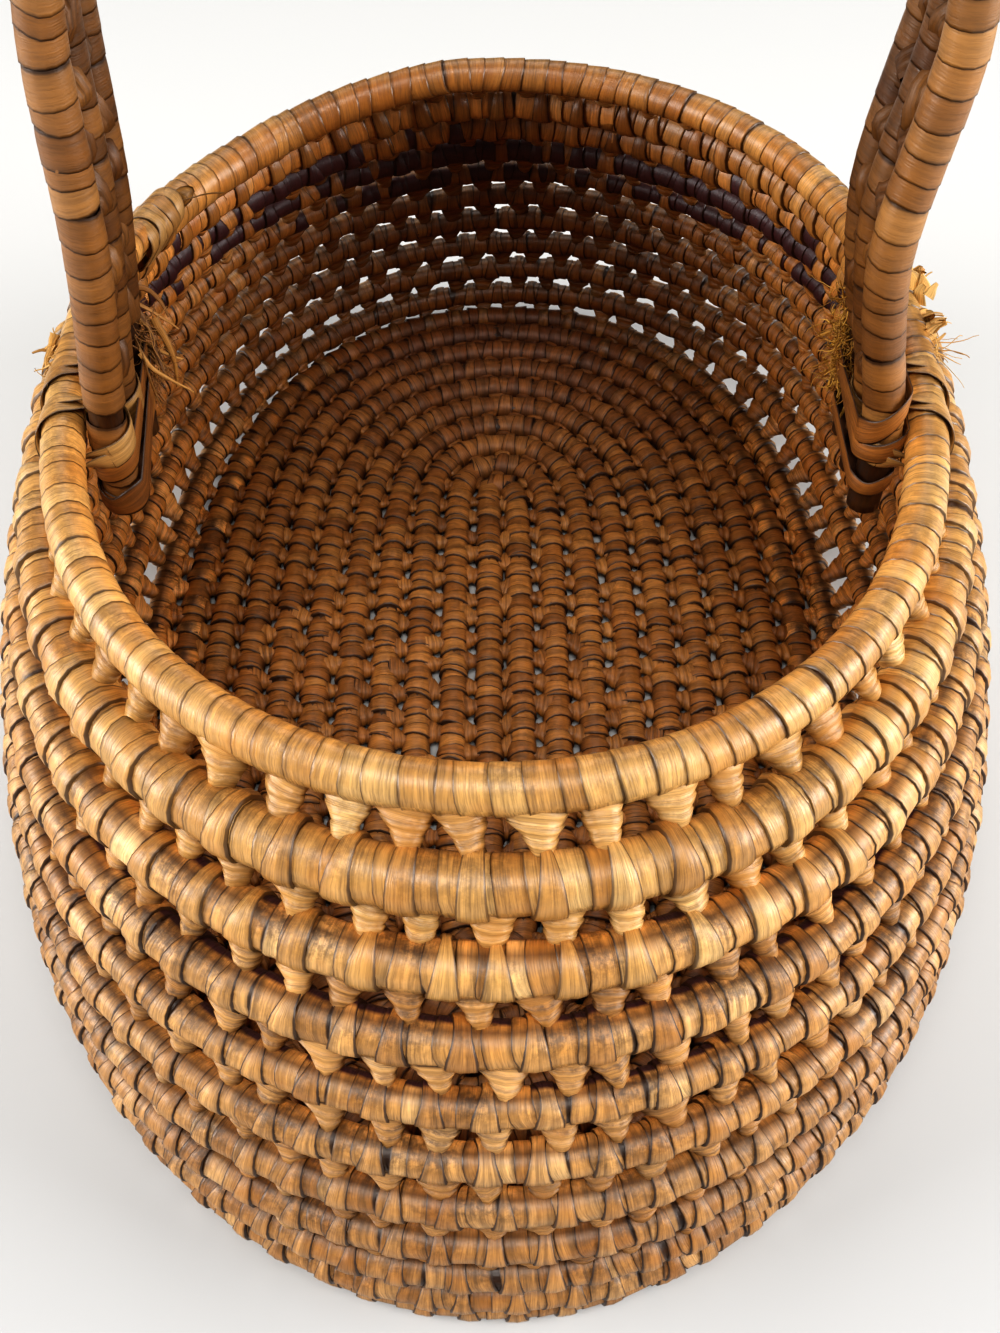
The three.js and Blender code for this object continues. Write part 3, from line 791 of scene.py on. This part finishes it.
FIBRES = {
    name: strip_material(f"{name}_fibre", *colours, dirt=0.0, stain=0.2, edge=0.0, roughness=0.6)
    for name, colours in FIBRE_TONES.items()
}


# Shapes for the tree: how far each wrap lifts, bulges, tucks under and leans, and where it leans most

PLAIN_WRAPS = shape_set("plain_wrap", wrap_shape, 0.05, 0.006, 0.06, 0.11, 0.0, seed=11)
TIGHT_WRAPS = shape_set("tight_wrap", wrap_shape, 0.04, 0.005, 0.05, 0.09, 0.0, seed=15)
ROD_WRAPS = shape_set("rod_wrap", wrap_shape, 0.025, 0.006, 0.06, 0.07, math.pi / 2, seed=16)
BELL_WRAPS = shape_set("bell_wrap", wrap_shape, 0.14, 0.0, 0.15, 0.06, math.pi / 2, seed=12)
PETALS = shape_set("petal", petal_shape, seed=13)
KNOTS = shape_set("knot", knot_shape, seed=14)


# Paths of the coil and of the seams between its turns

PATH_STEPS = 180
FLOOR_SPREAD = 0.04
DYE_BY_COURSE = ([5.2, 5.8, 6.2, 7.4, 7.8, 8.1], [0, 0.6, 0.68, 0.97, 0.35, 0])


def turns_between(start, end):
    count = max(int(math.ceil((end - start) * PATH_STEPS)), 2)
    return np.linspace(start, end, count + 1)


def dye_chance(turn):
    """How many of the wraps are dyed on the inner side, by course."""
    return float(np.interp(course_at(turn), *DYE_BY_COURSE))


def coil_stations(start, end, width, on_floor):
    """Stations along the coil. The floor's start a little before its first point, straight on."""
    stations = []
    for turn in turns_between(start, end):
        run = coil_run(turn)
        out = unit(np.cross(UP, run))
        girth = coil_girth(turn)
        if on_floor and run[1] > 0:
            run = -run
        spread = 1 + FLOOR_SPREAD * clamp(-course_at(turn))
        size = (girth * spread, girth, width)
        stations.append(strip_station(coil_point(turn), run, out, out, size, dye=dye_chance(turn)))
    if on_floor:
        back = coil_point(start) - coil_run(start) * START_LEAD
        stations.insert(0, {**stations[0], "spine": back})
    return stations


KNOT_TUCK = 3.2
LEAST_GAP = 0.5
FAR_KNOT_SLIM = 0.15
FAR_KNOT_FLAT = 0.55
PETAL_DYE = 0.8


def seam_stations(start, end, knot_width, knot_depth, knot_lap, petal_width, knot_out):
    """Stations of the knots between each turn and the one before it, and of the petals on that one."""
    on_floor = start < FLOOR_END_TURN
    knots, petals = [], []
    for turn in turns_between(start, end):
        upper, lower = coil_point(turn), coil_point(turn - 1)
        run = coil_run(turn)
        across = upper - lower
        rise = unit(across - np.dot(across, run) * run)
        out = -UP if on_floor else unit(np.cross(rise, run))
        far = clamp(math.sin(coil_angle(turn)))
        top, bottom = coil_girth(turn), coil_girth(turn - 1)
        gap = np.linalg.norm(across) - top - bottom
        middle = lower + rise * (bottom + (gap + KNOT_TUCK - knot_lap) / 2)
        size = (knot_width * (1 - FAR_KNOT_SLIM * far), knot_depth * (1 - FAR_KNOT_FLAT * far),
                max(gap, LEAST_GAP) + KNOT_TUCK + knot_lap)
        knots.append(strip_station(middle + out * knot_out, rise, run, rise if on_floor else out, size))
        outer, dye = unit(np.cross(UP, run)), PETAL_DYE * dye_chance(turn - 1)
        petals.append(strip_station(lower, run, rise, outer, (bottom, bottom, petal_width), dye=dye))
    return knots, petals


def bundle_piece(name, node, stations, share, sides=8):
    """The bare bundle under the wraps, closed at both ends."""
    rows = [[stations[0]["spine"] * MM] * sides]
    for station in stations:
        side = station["side"]
        other = np.cross(station["run"], side)
        reach, height = station["stretch"][0] * share, station["stretch"][1] * share
        ring = []
        for step in range(sides):
            angle = FULL_TURN * step / sides
            offset = reach * math.cos(angle) * side + height * math.sin(angle) * other
            ring.append((station["spine"] + offset) * MM)
        rows.append(ring)
    rows.append([stations[-1]["spine"] * MM] * sides)
    mesh = skin_mesh(name, [(rows, [index / BUNDLE_REACH for index in range(len(rows))])])
    mesh.materials.append(BUNDLE)
    finish_piece(new_object(name, mesh), node)


# Each stretch of the coil: its first and last turn, its wraps' pitch, slot, strip and shapes, and its knots'
# pitch and sizes (width, depth, lap, width of the stitch below, and how far they stand out)
STRETCHES = {
    "floor_coil": (
        START_TURN, FLOOR_END_TURN, 7.4, "coil_strip", FLOOR_STRIP, BELL_WRAPS,
        9.4, (6.4, 6.0, 1.6, 5.6, -0.6)),
    "lower_wall_coil": (
        FLOOR_END_TURN, DYED_TURN, 5.6, "coil_strip", COIL_STRIP, PLAIN_WRAPS,
        11.8, (8.0, 7.0, 0.8, 6.6, -0.5)),
    "dyed_band_coil": (
        DYED_TURN, UPPER_TURN, 5.6, "dyed_strip", COIL_STRIP, PLAIN_WRAPS,
        12.4, (8.0, 7.4, 0.8, 7.2, -0.6)),
    "upper_wall_coil": (
        UPPER_TURN, RIM_TURN, 5.6, "coil_strip", COIL_STRIP, PLAIN_WRAPS,
        13.0, (7.8, 7.6, 0.8, 7.6, -0.7)),
    "rim_coil": (
        RIM_TURN, RIM_TOP_TURN, 6.0, "rim_strip", RIM_STRIP, TIGHT_WRAPS,
        13.4, (8.2, 7.8, 0.9, 7.8, -0.8)),
}
WRAP_LAP = 1.18
BUNDLE_SHARE = 0.93
BUNDLE_REACH = 12
# How much further the coil's start reaches than the solid's, to close the hole at its bend
START_LEAD = 16
START_SAMPLES = 2000
START_STATIONS = 60


def start_seam_stations(knot_width, knot_depth, knot_lap):
    """Stations of the knots between the two legs of the coil's first turn, which bends at the far end."""
    turns = np.linspace(START_TURN, START_TURN + 1, START_SAMPLES)
    places = np.array([coil_point(turn) for turn in turns])
    far = int(np.argmax(places[:, 1]))
    near = far + int(np.argmin(places[far:, 1]))
    first, second = places[:far + 1], places[far:near + 1][::-1]
    stations = []
    for place in np.linspace(places[0][1], places[far][1] - FLOOR_COIL, START_STATIONS):
        left = np.interp(place, first[:, 1], first[:, 0])
        right = np.interp(place, second[:, 1], second[:, 0])
        gap = abs(right - left) - 2 * coil_girth(START_TURN)
        middle = np.array([(left + right) / 2, place, BASE_HEIGHT])
        size = (knot_width, knot_depth, max(gap, LEAST_GAP) + 2 * knot_lap)
        stations.append(strip_station(middle, ACROSS, ALONG, ACROSS, size))
    return stations


def make_coils():
    for seed, (node, facts) in enumerate(STRETCHES.items(), start=1):
        start, end, pitch, slot, strip, shapes, knot_pitch, knot = facts
        on_floor = node == "floor_coil"
        stations = coil_stations(start, end, pitch * WRAP_LAP, on_floor)
        knots, petals = seam_stations(start + 1 if on_floor else start, end, *knot)
        spacing = {"Pitch": knot_pitch * MM, "Wander": 0.3, "Seed": 100 * seed + 50}
        knot_play = {"Sway": 0.12, "Unevenness": 0.14, **spacing}
        set_strips(f"{node}_wraps", slot, node, stations, shapes, strip, Pitch=pitch * MM,
                   Wander=0.44, Sway=0.012, Unevenness=0.005, Seed=100 * seed)
        bundle_piece(f"{node}_bundle", node, stations, BUNDLE_SHARE)
        set_strips(f"{node}_knots", slot, node, knots, KNOTS, strip, **knot_play)
        set_strips(f"{node}_stitches", slot, node, petals, PETALS, strip,
                   Sway=0.03, Unevenness=0.03, **spacing)
        if on_floor:
            start_knots = start_seam_stations(*knot[:3])
            set_strips(f"{node}_start_knots", slot, node, start_knots, KNOTS, strip, **knot_play)


make_coils()


# Handle

ROD_STEP = 3


def rod_stations(start, end, place, girth, width):
    stations = []
    for length in np.linspace(start, end, max(int((end - start) / ROD_STEP), 2)):
        run = rod_run(length, place)
        if run[2] > 0:
            run = -run
        side = unit(np.cross(ALONG, run))
        stations.append(strip_station(rod_point(length, place), run, side, side, (girth, girth, width)))
    return stations


# Radius of the wrapped rods, a little under the plain solid's
ROD_GIRTH = 0.9 * ROD / 2
ROD_WRAP_PITCH = 6.6
# Wraps that cover the handle's top, where the two legs' wraps meet
CROWN_LENGTH = 6
CROWN_SWELL = 1.02
CROWN_LAP = 1.5
FOOT_WRAP_INSET = 3
FOOT_WRAP_WIDTH = 7
FOOT_WRAP_PITCH = 5.6


def make_rods():
    for seed, (name, facts) in enumerate(RODS.items(), start=1):
        place, node = ROD_PLACES[name], f"{name}_rod_wrap"
        # The middle and back rods take the darker copy, as painted shade
        strip = LIT_FRONT_ROD_STRIP if name == "front" else SHADED_BACK_ROD_STRIP
        whole = rod_stations(0, ROD_LENGTH, place, ROD_CORE / 2, 1)
        bundle_piece(f"{name}_rod_core_bundle", f"{name}_rod_core", whole, 1.0, sides=12)
        inset = ROD_WRAP_PITCH / 2
        wrapped = rod_stations(facts["left_bare"] + inset, ROD_LENGTH - facts["right_bare"] - inset, place,
                               ROD_GIRTH, ROD_WRAP_PITCH * WRAP_LAP)
        set_strips(f"{name}_rod_wraps", "handle_strip", node, wrapped, ROD_WRAPS, strip,
                   Pitch=ROD_WRAP_PITCH * MM, Wander=0.45, Sway=0.015, Unevenness=0.008, Seed=700 + 20 * seed)
        middle = ROD_LENGTH / 2
        crown = rod_stations(middle - CROWN_LENGTH, middle + CROWN_LENGTH, place,
                             ROD_GIRTH * CROWN_SWELL, ROD_WRAP_PITCH * CROWN_LAP)
        for station in crown:
            station.update({key: crown[0][key] for key in ("run", "side", "out")})
        set_strips(f"{name}_rod_crown_wraps", "handle_strip", node, crown, ROD_WRAPS, strip,
                   Pitch=ROD_WRAP_PITCH * MM, Wander=0.1, Sway=0.02, Seed=760 + 10 * seed)
    foot = rod_stations(FOOT_WRAP_START + FOOT_WRAP_INSET,
                        FOOT_WRAP_START + FOOT_WRAP_LENGTH - FOOT_WRAP_INSET,
                        ROD_PLACES["front"], ROD_GIRTH, FOOT_WRAP_WIDTH)
    set_strips("left_front_foot_wraps", "handle_strip", "left_front_foot_wrap", foot, ROD_WRAPS,
               LIT_FRONT_ROD_STRIP, Pitch=FOOT_WRAP_PITCH * MM, Wander=0.3, Sway=0.03, Unevenness=0.03, Seed=790)


make_rods()


# Width, depth and length of the knots between the rods
ROD_KNOT = (8.0, 9.0, ROD_GAP + 5.0)
ROD_KNOT_PITCH = 13.5
ROD_KNOT_STATIONS = 120


def make_rod_knots():
    for seed, (name, row) in enumerate((("front", -0.5), ("back", 0.5)), start=1):
        place = HANDLE_PLACE + row * ROD_PITCH
        stations = []
        for length in np.linspace(STITCH_START, ROD_LENGTH - STITCH_START, ROD_KNOT_STATIONS):
            run = rod_run(length, place)
            side = unit(np.cross(ALONG, run))
            stations.append(strip_station(rod_point(length, place), ALONG, run, side, ROD_KNOT))
        set_strips(f"{name}_rod_knots", "handle_strip", f"{name}_rod_stitching", stations, KNOTS,
                   SHADED_BACK_ROD_STRIP, Pitch=ROD_KNOT_PITCH * MM, Wander=0.4, Sway=0.3, Unevenness=0.15,
                   Seed=820 + 10 * seed)


make_rod_knots()


# Strips that bind the handle, and frayed ends

RIBBON_RING = ((0.0, 0.0), (0.1, 0.6), (0.5, 1.0), (0.9, 0.6), (1.0, 0.0), (0.75, -0.6), (0.25, -0.6))
RIBBON_REACH = 40
STRIP_THICKNESS = 0.35
BAND_STEPS = 48
STRAND_STEPS = 9


def ribbon_piece(name, node, ribbons, material):
    """Flat strips along lines of points, each with normals, widths, a thickness and a tone, as one mesh."""
    bands, tones = [], []
    for line, normals, widths, thickness, tone in ribbons:
        line, rows = np.array(line), []
        for index, place in enumerate(line):
            run = unit(line[min(index + 1, len(line) - 1)] - line[max(index - 1, 0)])
            across = unit(np.cross(run, normals[index]))
            lift = unit(np.cross(across, run))
            offsets = [across * (share - 0.5) * widths[index] + lift * height * thickness
                       for share, height in RIBBON_RING]
            rows.append([(place + offset) * MM for offset in offsets])
        bands.append((rows, lengths_along(line) / RIBBON_REACH))
        tones += [tone] * (len(line) * len(RIBBON_RING))
    mesh = skin_mesh(name, bands, [share for share, _ in (*RIBBON_RING, RIBBON_RING[0])])
    mesh.attributes.new("tone", "FLOAT", "POINT").data.foreach_set("value", flat(tones))
    mesh.materials.append(material)
    finish_piece(new_object(name, mesh), node)


def band_ribbon(draw, circles, axis, across, slack, width, tilt):
    """A strip drawn round parallel bars, given as centres and radii, and tilted along their axis."""
    second = np.cross(axis, across)
    wave = ripple(draw, (1, 2, 3), 0.5)
    line, normals, widths = [], [], []
    for step in range(BAND_STEPS + 1):
        angle = FULL_TURN * step / BAND_STEPS
        normal = across * math.cos(angle) + second * math.sin(angle)
        center, radius = max(circles, key=lambda circle: np.dot(circle[0], normal) + circle[1])
        place = center + normal * (radius + slack + 0.3 * wave(angle + 1))
        shift = np.dot(place - circles[0][0], tilt) + wave(angle)
        line.append(place + axis * shift)
        normals.append(normal)
        widths.append(width * (1 + 0.3 * wave(angle + 2)))
    return line, normals, widths, STRIP_THICKNESS, draw.uniform()


def strand_ribbon(draw, root, heading, length, width, curl, droop):
    """One loose fibre that curls from its root and hangs down."""
    line = [np.array(root)]
    heading = unit(np.array(heading))
    bend = draw.normal(0, curl, 3)
    for _ in range(STRAND_STEPS):
        bend = 0.75 * bend + draw.normal(0, curl, 3) * 0.5
        heading = unit(heading + bend - UP * droop)
        line.append(line[-1] + heading * length / STRAND_STEPS)
    side = unit(np.cross(heading, draw.normal(0, 1, 3)))
    taper = np.linspace(1, 0.3, len(line))
    return line, [side] * len(line), width * taper, min(0.22 * width, 0.2), draw.uniform()


def tuft_ribbons(draw, count, root, scatter, heading, spread, length, width, curl, droop):
    ribbons = []
    for _ in range(count):
        start = root + draw.normal(0, 1, 3) * scatter
        aim = unit(np.array(heading)) + draw.normal(0, spread, 3)
        size = length * draw.uniform(0.45, 1.0), width * draw.uniform(0.5, 1.3)
        ribbons.append(strand_ribbon(draw, start, aim, *size, curl, droop))
    return ribbons


LASHING_RING = 9
LASHING_SLACK = 0.8
LASHING_RISE = 3.0
LASHING_SHIFTS = (-1.6, 1.2)
LASHING_WIDTHS = (4.0, 5.2)
RIM_SLACK = 0.9
RIM_BEND = RIM_COIL / 2 * SWELL[1][-1] + RIM_SLACK


def rounded_loop(points):
    """The closed line through points, with each corner cut off twice."""
    for _ in range(2):
        pairs = zip(points, points[1:] + points[:1])
        points = [lerp(a, b, share) for a, b in pairs for share in (0.25, 0.75)]
    return points + points[:1]


def lashing_ribbon(draw, side, place, shift):
    """A strip round one leg and the rim: over the rim on one side of the leg, under it on the other."""
    out, rim_x = OUTWARD[side], rim_reach(place)
    leg_bend = ROD_GIRTH + LASHING_SLACK
    line, normals = [], []
    for share in np.linspace(0, 1, LASHING_RING):
        angle = math.pi * (share - 0.5)
        normal = np.array([-out * math.cos(angle), math.sin(angle), 0])
        lift = lerp(-LASHING_RISE, LASHING_RISE, share) + shift
        line.append(np.array([out * LEG_REACH, place, RIM_LEVEL + lift]) + normal * leg_bend)
        normals.append(normal)
    for share in np.linspace(1, -1, LASHING_RING):
        angle = math.pi / 2 * share
        normal = np.array([out * math.cos(angle), 0, math.sin(angle)])
        middle = np.array([out * rim_x, place + (leg_bend - 1) * share + shift, RIM_LEVEL])
        line.append(middle + normal * RIM_BEND)
        normals.append(normal)
    line, normals = rounded_loop(line), rounded_loop(normals)
    widths = [draw.uniform(*LASHING_WIDTHS)] * len(line)
    return line, normals, widths, STRIP_THICKNESS, draw.uniform()


# Turns of each foot strap: depth under the rim, slack, tilt and width
STRAP_TURNS = {
    "left": [(3, 0.4, (0.25, 0.3, 0), 6.0), (10, 0.9, (0.2, 0.5, 0), 7.0), (15, 0.3, (0.1, 0.2, 0), 5.0)],
    "right": [(-5, 0.5, (0.9, -0.1, 0), 6.0), (0, 1.1, (0.25, 0.1, 0), 6.5), (14, 0.3, (0.2, 0, 0), 5.0)],
}


def make_bindings():
    draw = np.random.default_rng(41)
    for side in OUTWARD:
        for name in ("front", "middle"):
            node = f"{side}_{name}_lashing"
            strips = [lashing_ribbon(draw, side, ROD_PLACES[name], shift) for shift in LASHING_SHIFTS]
            ribbon_piece(f"{node}_strips", node, strips, RIM_STRIP)
    for side, turns in STRAP_TURNS.items():
        node, strips = f"{side}_foot_strap", []
        for depth, slack, tilt, width in turns:
            feet = [(leg_point(side, -depth) + ALONG * ROD_PLACES[name], ROD_GIRTH)
                    for name in ("middle", "front", "back")]
            strips.append(band_ribbon(draw, feet, UP, ALONG, slack, width, tilt))
        ribbon_piece(f"{node}_strips", node, strips, STRAP_STRIP)


LEFT_TUFT_PLACE = 3
RIGHT_TUFT_PLACE = 22


def make_tufts():
    draw = np.random.default_rng(42)
    back = ALONG * (ROD_PLACES["back"] + 2)
    left_end, right_end = (leg_point(side, RODS["back"][f"{side}_bare"] - FOOT_DEPTH) + back
                           for side in OUTWARD)
    left_out = np.array([-rim_reach(LEFT_TUFT_PLACE) - RIM_COIL / 2, LEFT_TUFT_PLACE, RIM_LEVEL])
    right_out = np.array([rim_reach(RIGHT_TUFT_PLACE) + RIM_COIL / 2, RIGHT_TUFT_PLACE, RIM_LEVEL + 2])
    # Bunches of fibres: count, root, scatter, heading, spread, length, width, curl and droop
    tufts = {
        "left_inner_tuft": ("brown", [
            (70, left_end - UP * 8, (2.4, 2.5, 6), (0.3, 0.1, -1), 0.28, 25, 1.8, 0.2, 0.3),
            (260, left_end - UP * 12, (2.8, 3, 8), (0.4, 0, -1), 0.5, 14, 0.5, 0.4, 0.2),
        ]),
        "right_inner_tuft": ("golden", [
            (760, right_end - UP * 6, (3, 3.2, 10), (-0.6, 0.1, -0.6), 0.7, 9, 0.6, 0.6, 0.1),
            (16, right_end - UP * 6, (2, 2, 5), (-0.2, 0.1, -1), 0.25, 22, 1.8, 0.16, 0.3),
        ]),
        "left_outer_tuft": ("pale", [
            (22, left_out - ALONG * 4, (1, 4, 2.5), (-0.3, -0.9, -0.5), 0.35, 10, 2.2, 0.3, 0.1),
            (20, left_out - ALONG * 6, (1, 4, 3), (-0.4, -0.5, -0.4), 0.5, 6, 0.8, 0.4, 0.2),
        ]),
        "right_outer_tuft": ("pale", [
            (14, right_out, (1, 3, 2), (0.15, 0.1, 1), 0.22, 8, 4.6, 0.1, 0.0),
            (16, right_out - ALONG * 13, (1, 4, 2), (0.5, 0.1, 0.6), 0.3, 7, 3.8, 0.12, 0.05),
            (26, right_out - ALONG * 20, (1, 4, 2), (1, 0, -0.1), 0.35, 15, 0.5, 0.25, 0.12),
        ]),
    }
    for node, (colour, bunches) in tufts.items():
        strands = [strand for bunch in bunches for strand in tuft_ribbons(draw, *bunch)]
        ribbon_piece(f"{node}_fibres", node, strands, FIBRES[colour])


# How far back from the coil's end each strip of the splice lies, and how loose it is there
SPLICE_PLACES = {0.0: 0.5, 3.6: 0.8, 7.0: 0.5, 10.6: 0.8, 14.4: 0.5}
SPLICE_TAIL, SPLICE_UNDER = 4.6, 5.2
SPLICE_REACH = 0.55
SPLICE_WIDTH = 4.8
SPLICE_TILT = (0, 0, 0.12)


def make_splice():
    """The end of the coil, bound to the course under it, with a loose strip end."""
    draw = np.random.default_rng(43)
    axis = unit(coil_run(RIM_TOP_TURN - 0.005) * np.array([1, 1, 0]))
    tail, course_below = coil_point(RIM_TOP_TURN), coil_point(RIM_TOP_TURN - 1)
    strips = []
    for back, slack in SPLICE_PLACES.items():
        center, under = tail - axis * back, course_below - axis * back
        circles = [(center, SPLICE_TAIL), (lerp(center, under, SPLICE_REACH), SPLICE_UNDER)]
        strips.append(band_ribbon(draw, circles, axis, UP, slack, SPLICE_WIDTH, SPLICE_TILT))
    loose = strand_ribbon(draw, tail + UP, axis + np.array([0.6, 0, -0.1]), 24, 4.0, 0.05, 0.02)
    ribbon_piece("rim_splice_strips", "rim_splice_band", strips + [loose], RIM_STRIP)


make_bindings()
make_tufts()
make_splice()


# Stage: pale floor, soft light and the photograph's viewpoint

STAGE_REACH = 6.0
# The paper is painted darker towards the front, as painted shade
PAPER_SHADE_FADE = (-0.3, 0.25)
PAPER_FRONT_SHADE = srgb(174, 175, 176)
PAPER_BACK = srgb(195, 195, 194)
WORLD_STRENGTH = 0.12


def make_stage():
    mesh = bpy.data.meshes.new("studio_floor")
    corners = [(-1, -1), (1, -1), (1, 1), (-1, 1)]
    mesh.from_pydata([(x * STAGE_REACH, y * STAGE_REACH, 0) for x, y in corners], [], [(0, 1, 2, 3)])
    floor = new_object("studio_floor", mesh)
    paper, surface = new_material("pale_paper")
    place = add_node("ShaderNodeTexCoord", tree=paper.node_tree)["Object"]
    depth = add_node("ShaderNodeSeparateXYZ", {0: place})["Y"]
    # Painted shade: the paper darker towards the front
    fade = range_node(depth, *PAPER_SHADE_FADE)
    tone = ramp_node(fade, [(0.0, PAPER_FRONT_SHADE), (1.0, PAPER_BACK)])
    set_inputs(surface, {"Base Color": tone, "Roughness": 0.9})
    mesh.materials.append(paper)
    world = bpy.data.worlds.new("studio")
    world.use_nodes = True
    set_inputs(world.node_tree.nodes["Background"].inputs,
               {"Color": srgb(250, 250, 250), "Strength": WORLD_STRENGTH})
    scene.world = world


def soft_light(name, place, aim, size, power, warmth=(1.0, 1.0, 1.0)):
    light = bpy.data.lights.new(name, "AREA")
    light.shape = "RECTANGLE"
    light.size, light.size_y = size
    light.energy = power
    light.color = warmth
    lamp = new_object(name, light)
    lamp.location = place
    lamp.rotation_euler = (Vector(aim) - Vector(place)).to_track_quat("-Z", "Y").to_euler()


VIEW_DEPTH_ANGLE = math.radians(51.44)
VIEW_PLACE = (1.2, -300.0, RIM_LEVEL + 249.4)
FOCAL_PIXELS = 1504.6
IMAGE_HEIGHT = 1333
SENSOR = 36.0


def make_camera():
    lens = bpy.data.cameras.new("photo_view")
    lens.sensor_fit = "VERTICAL"
    lens.sensor_height = SENSOR
    lens.lens = FOCAL_PIXELS / IMAGE_HEIGHT * SENSOR
    lens.clip_start = 0.01
    camera = new_object("photo_view", lens)
    camera.location = [value * MM for value in VIEW_PLACE]
    camera.rotation_euler = (math.pi / 2 - VIEW_DEPTH_ANGLE, 0, 0)
    scene.camera = camera


make_stage()
soft_light("front_softbox", (0.0, -0.7, 1.5), (0, -0.1, 0.06), (0.9, 0.7), 16, (1.0, 0.97, 0.93))
soft_light("left_softbox", (-1.4, -0.3, 0.6), (0, -0.05, 0.08), (1.0, 0.8), 22)
soft_light("right_softbox", (1.4, -0.3, 0.6), (0, -0.05, 0.08), (1.0, 0.8), 25)
soft_light("back_softbox", (0.0, 1.1, 1.3), (0, 0.0, 0.06), (1.4, 0.8), 7)
scene.view_settings.view_transform = "Standard"
scene.view_settings.look = "High Contrast"
make_camera()

# The shapes are in the pieces by now
for holder in (PLAIN_WRAPS, TIGHT_WRAPS, ROD_WRAPS, BELL_WRAPS, PETALS, KNOTS):
    for shape in list(holder.objects):
        bpy.data.objects.remove(shape)
    bpy.data.collections.remove(holder)
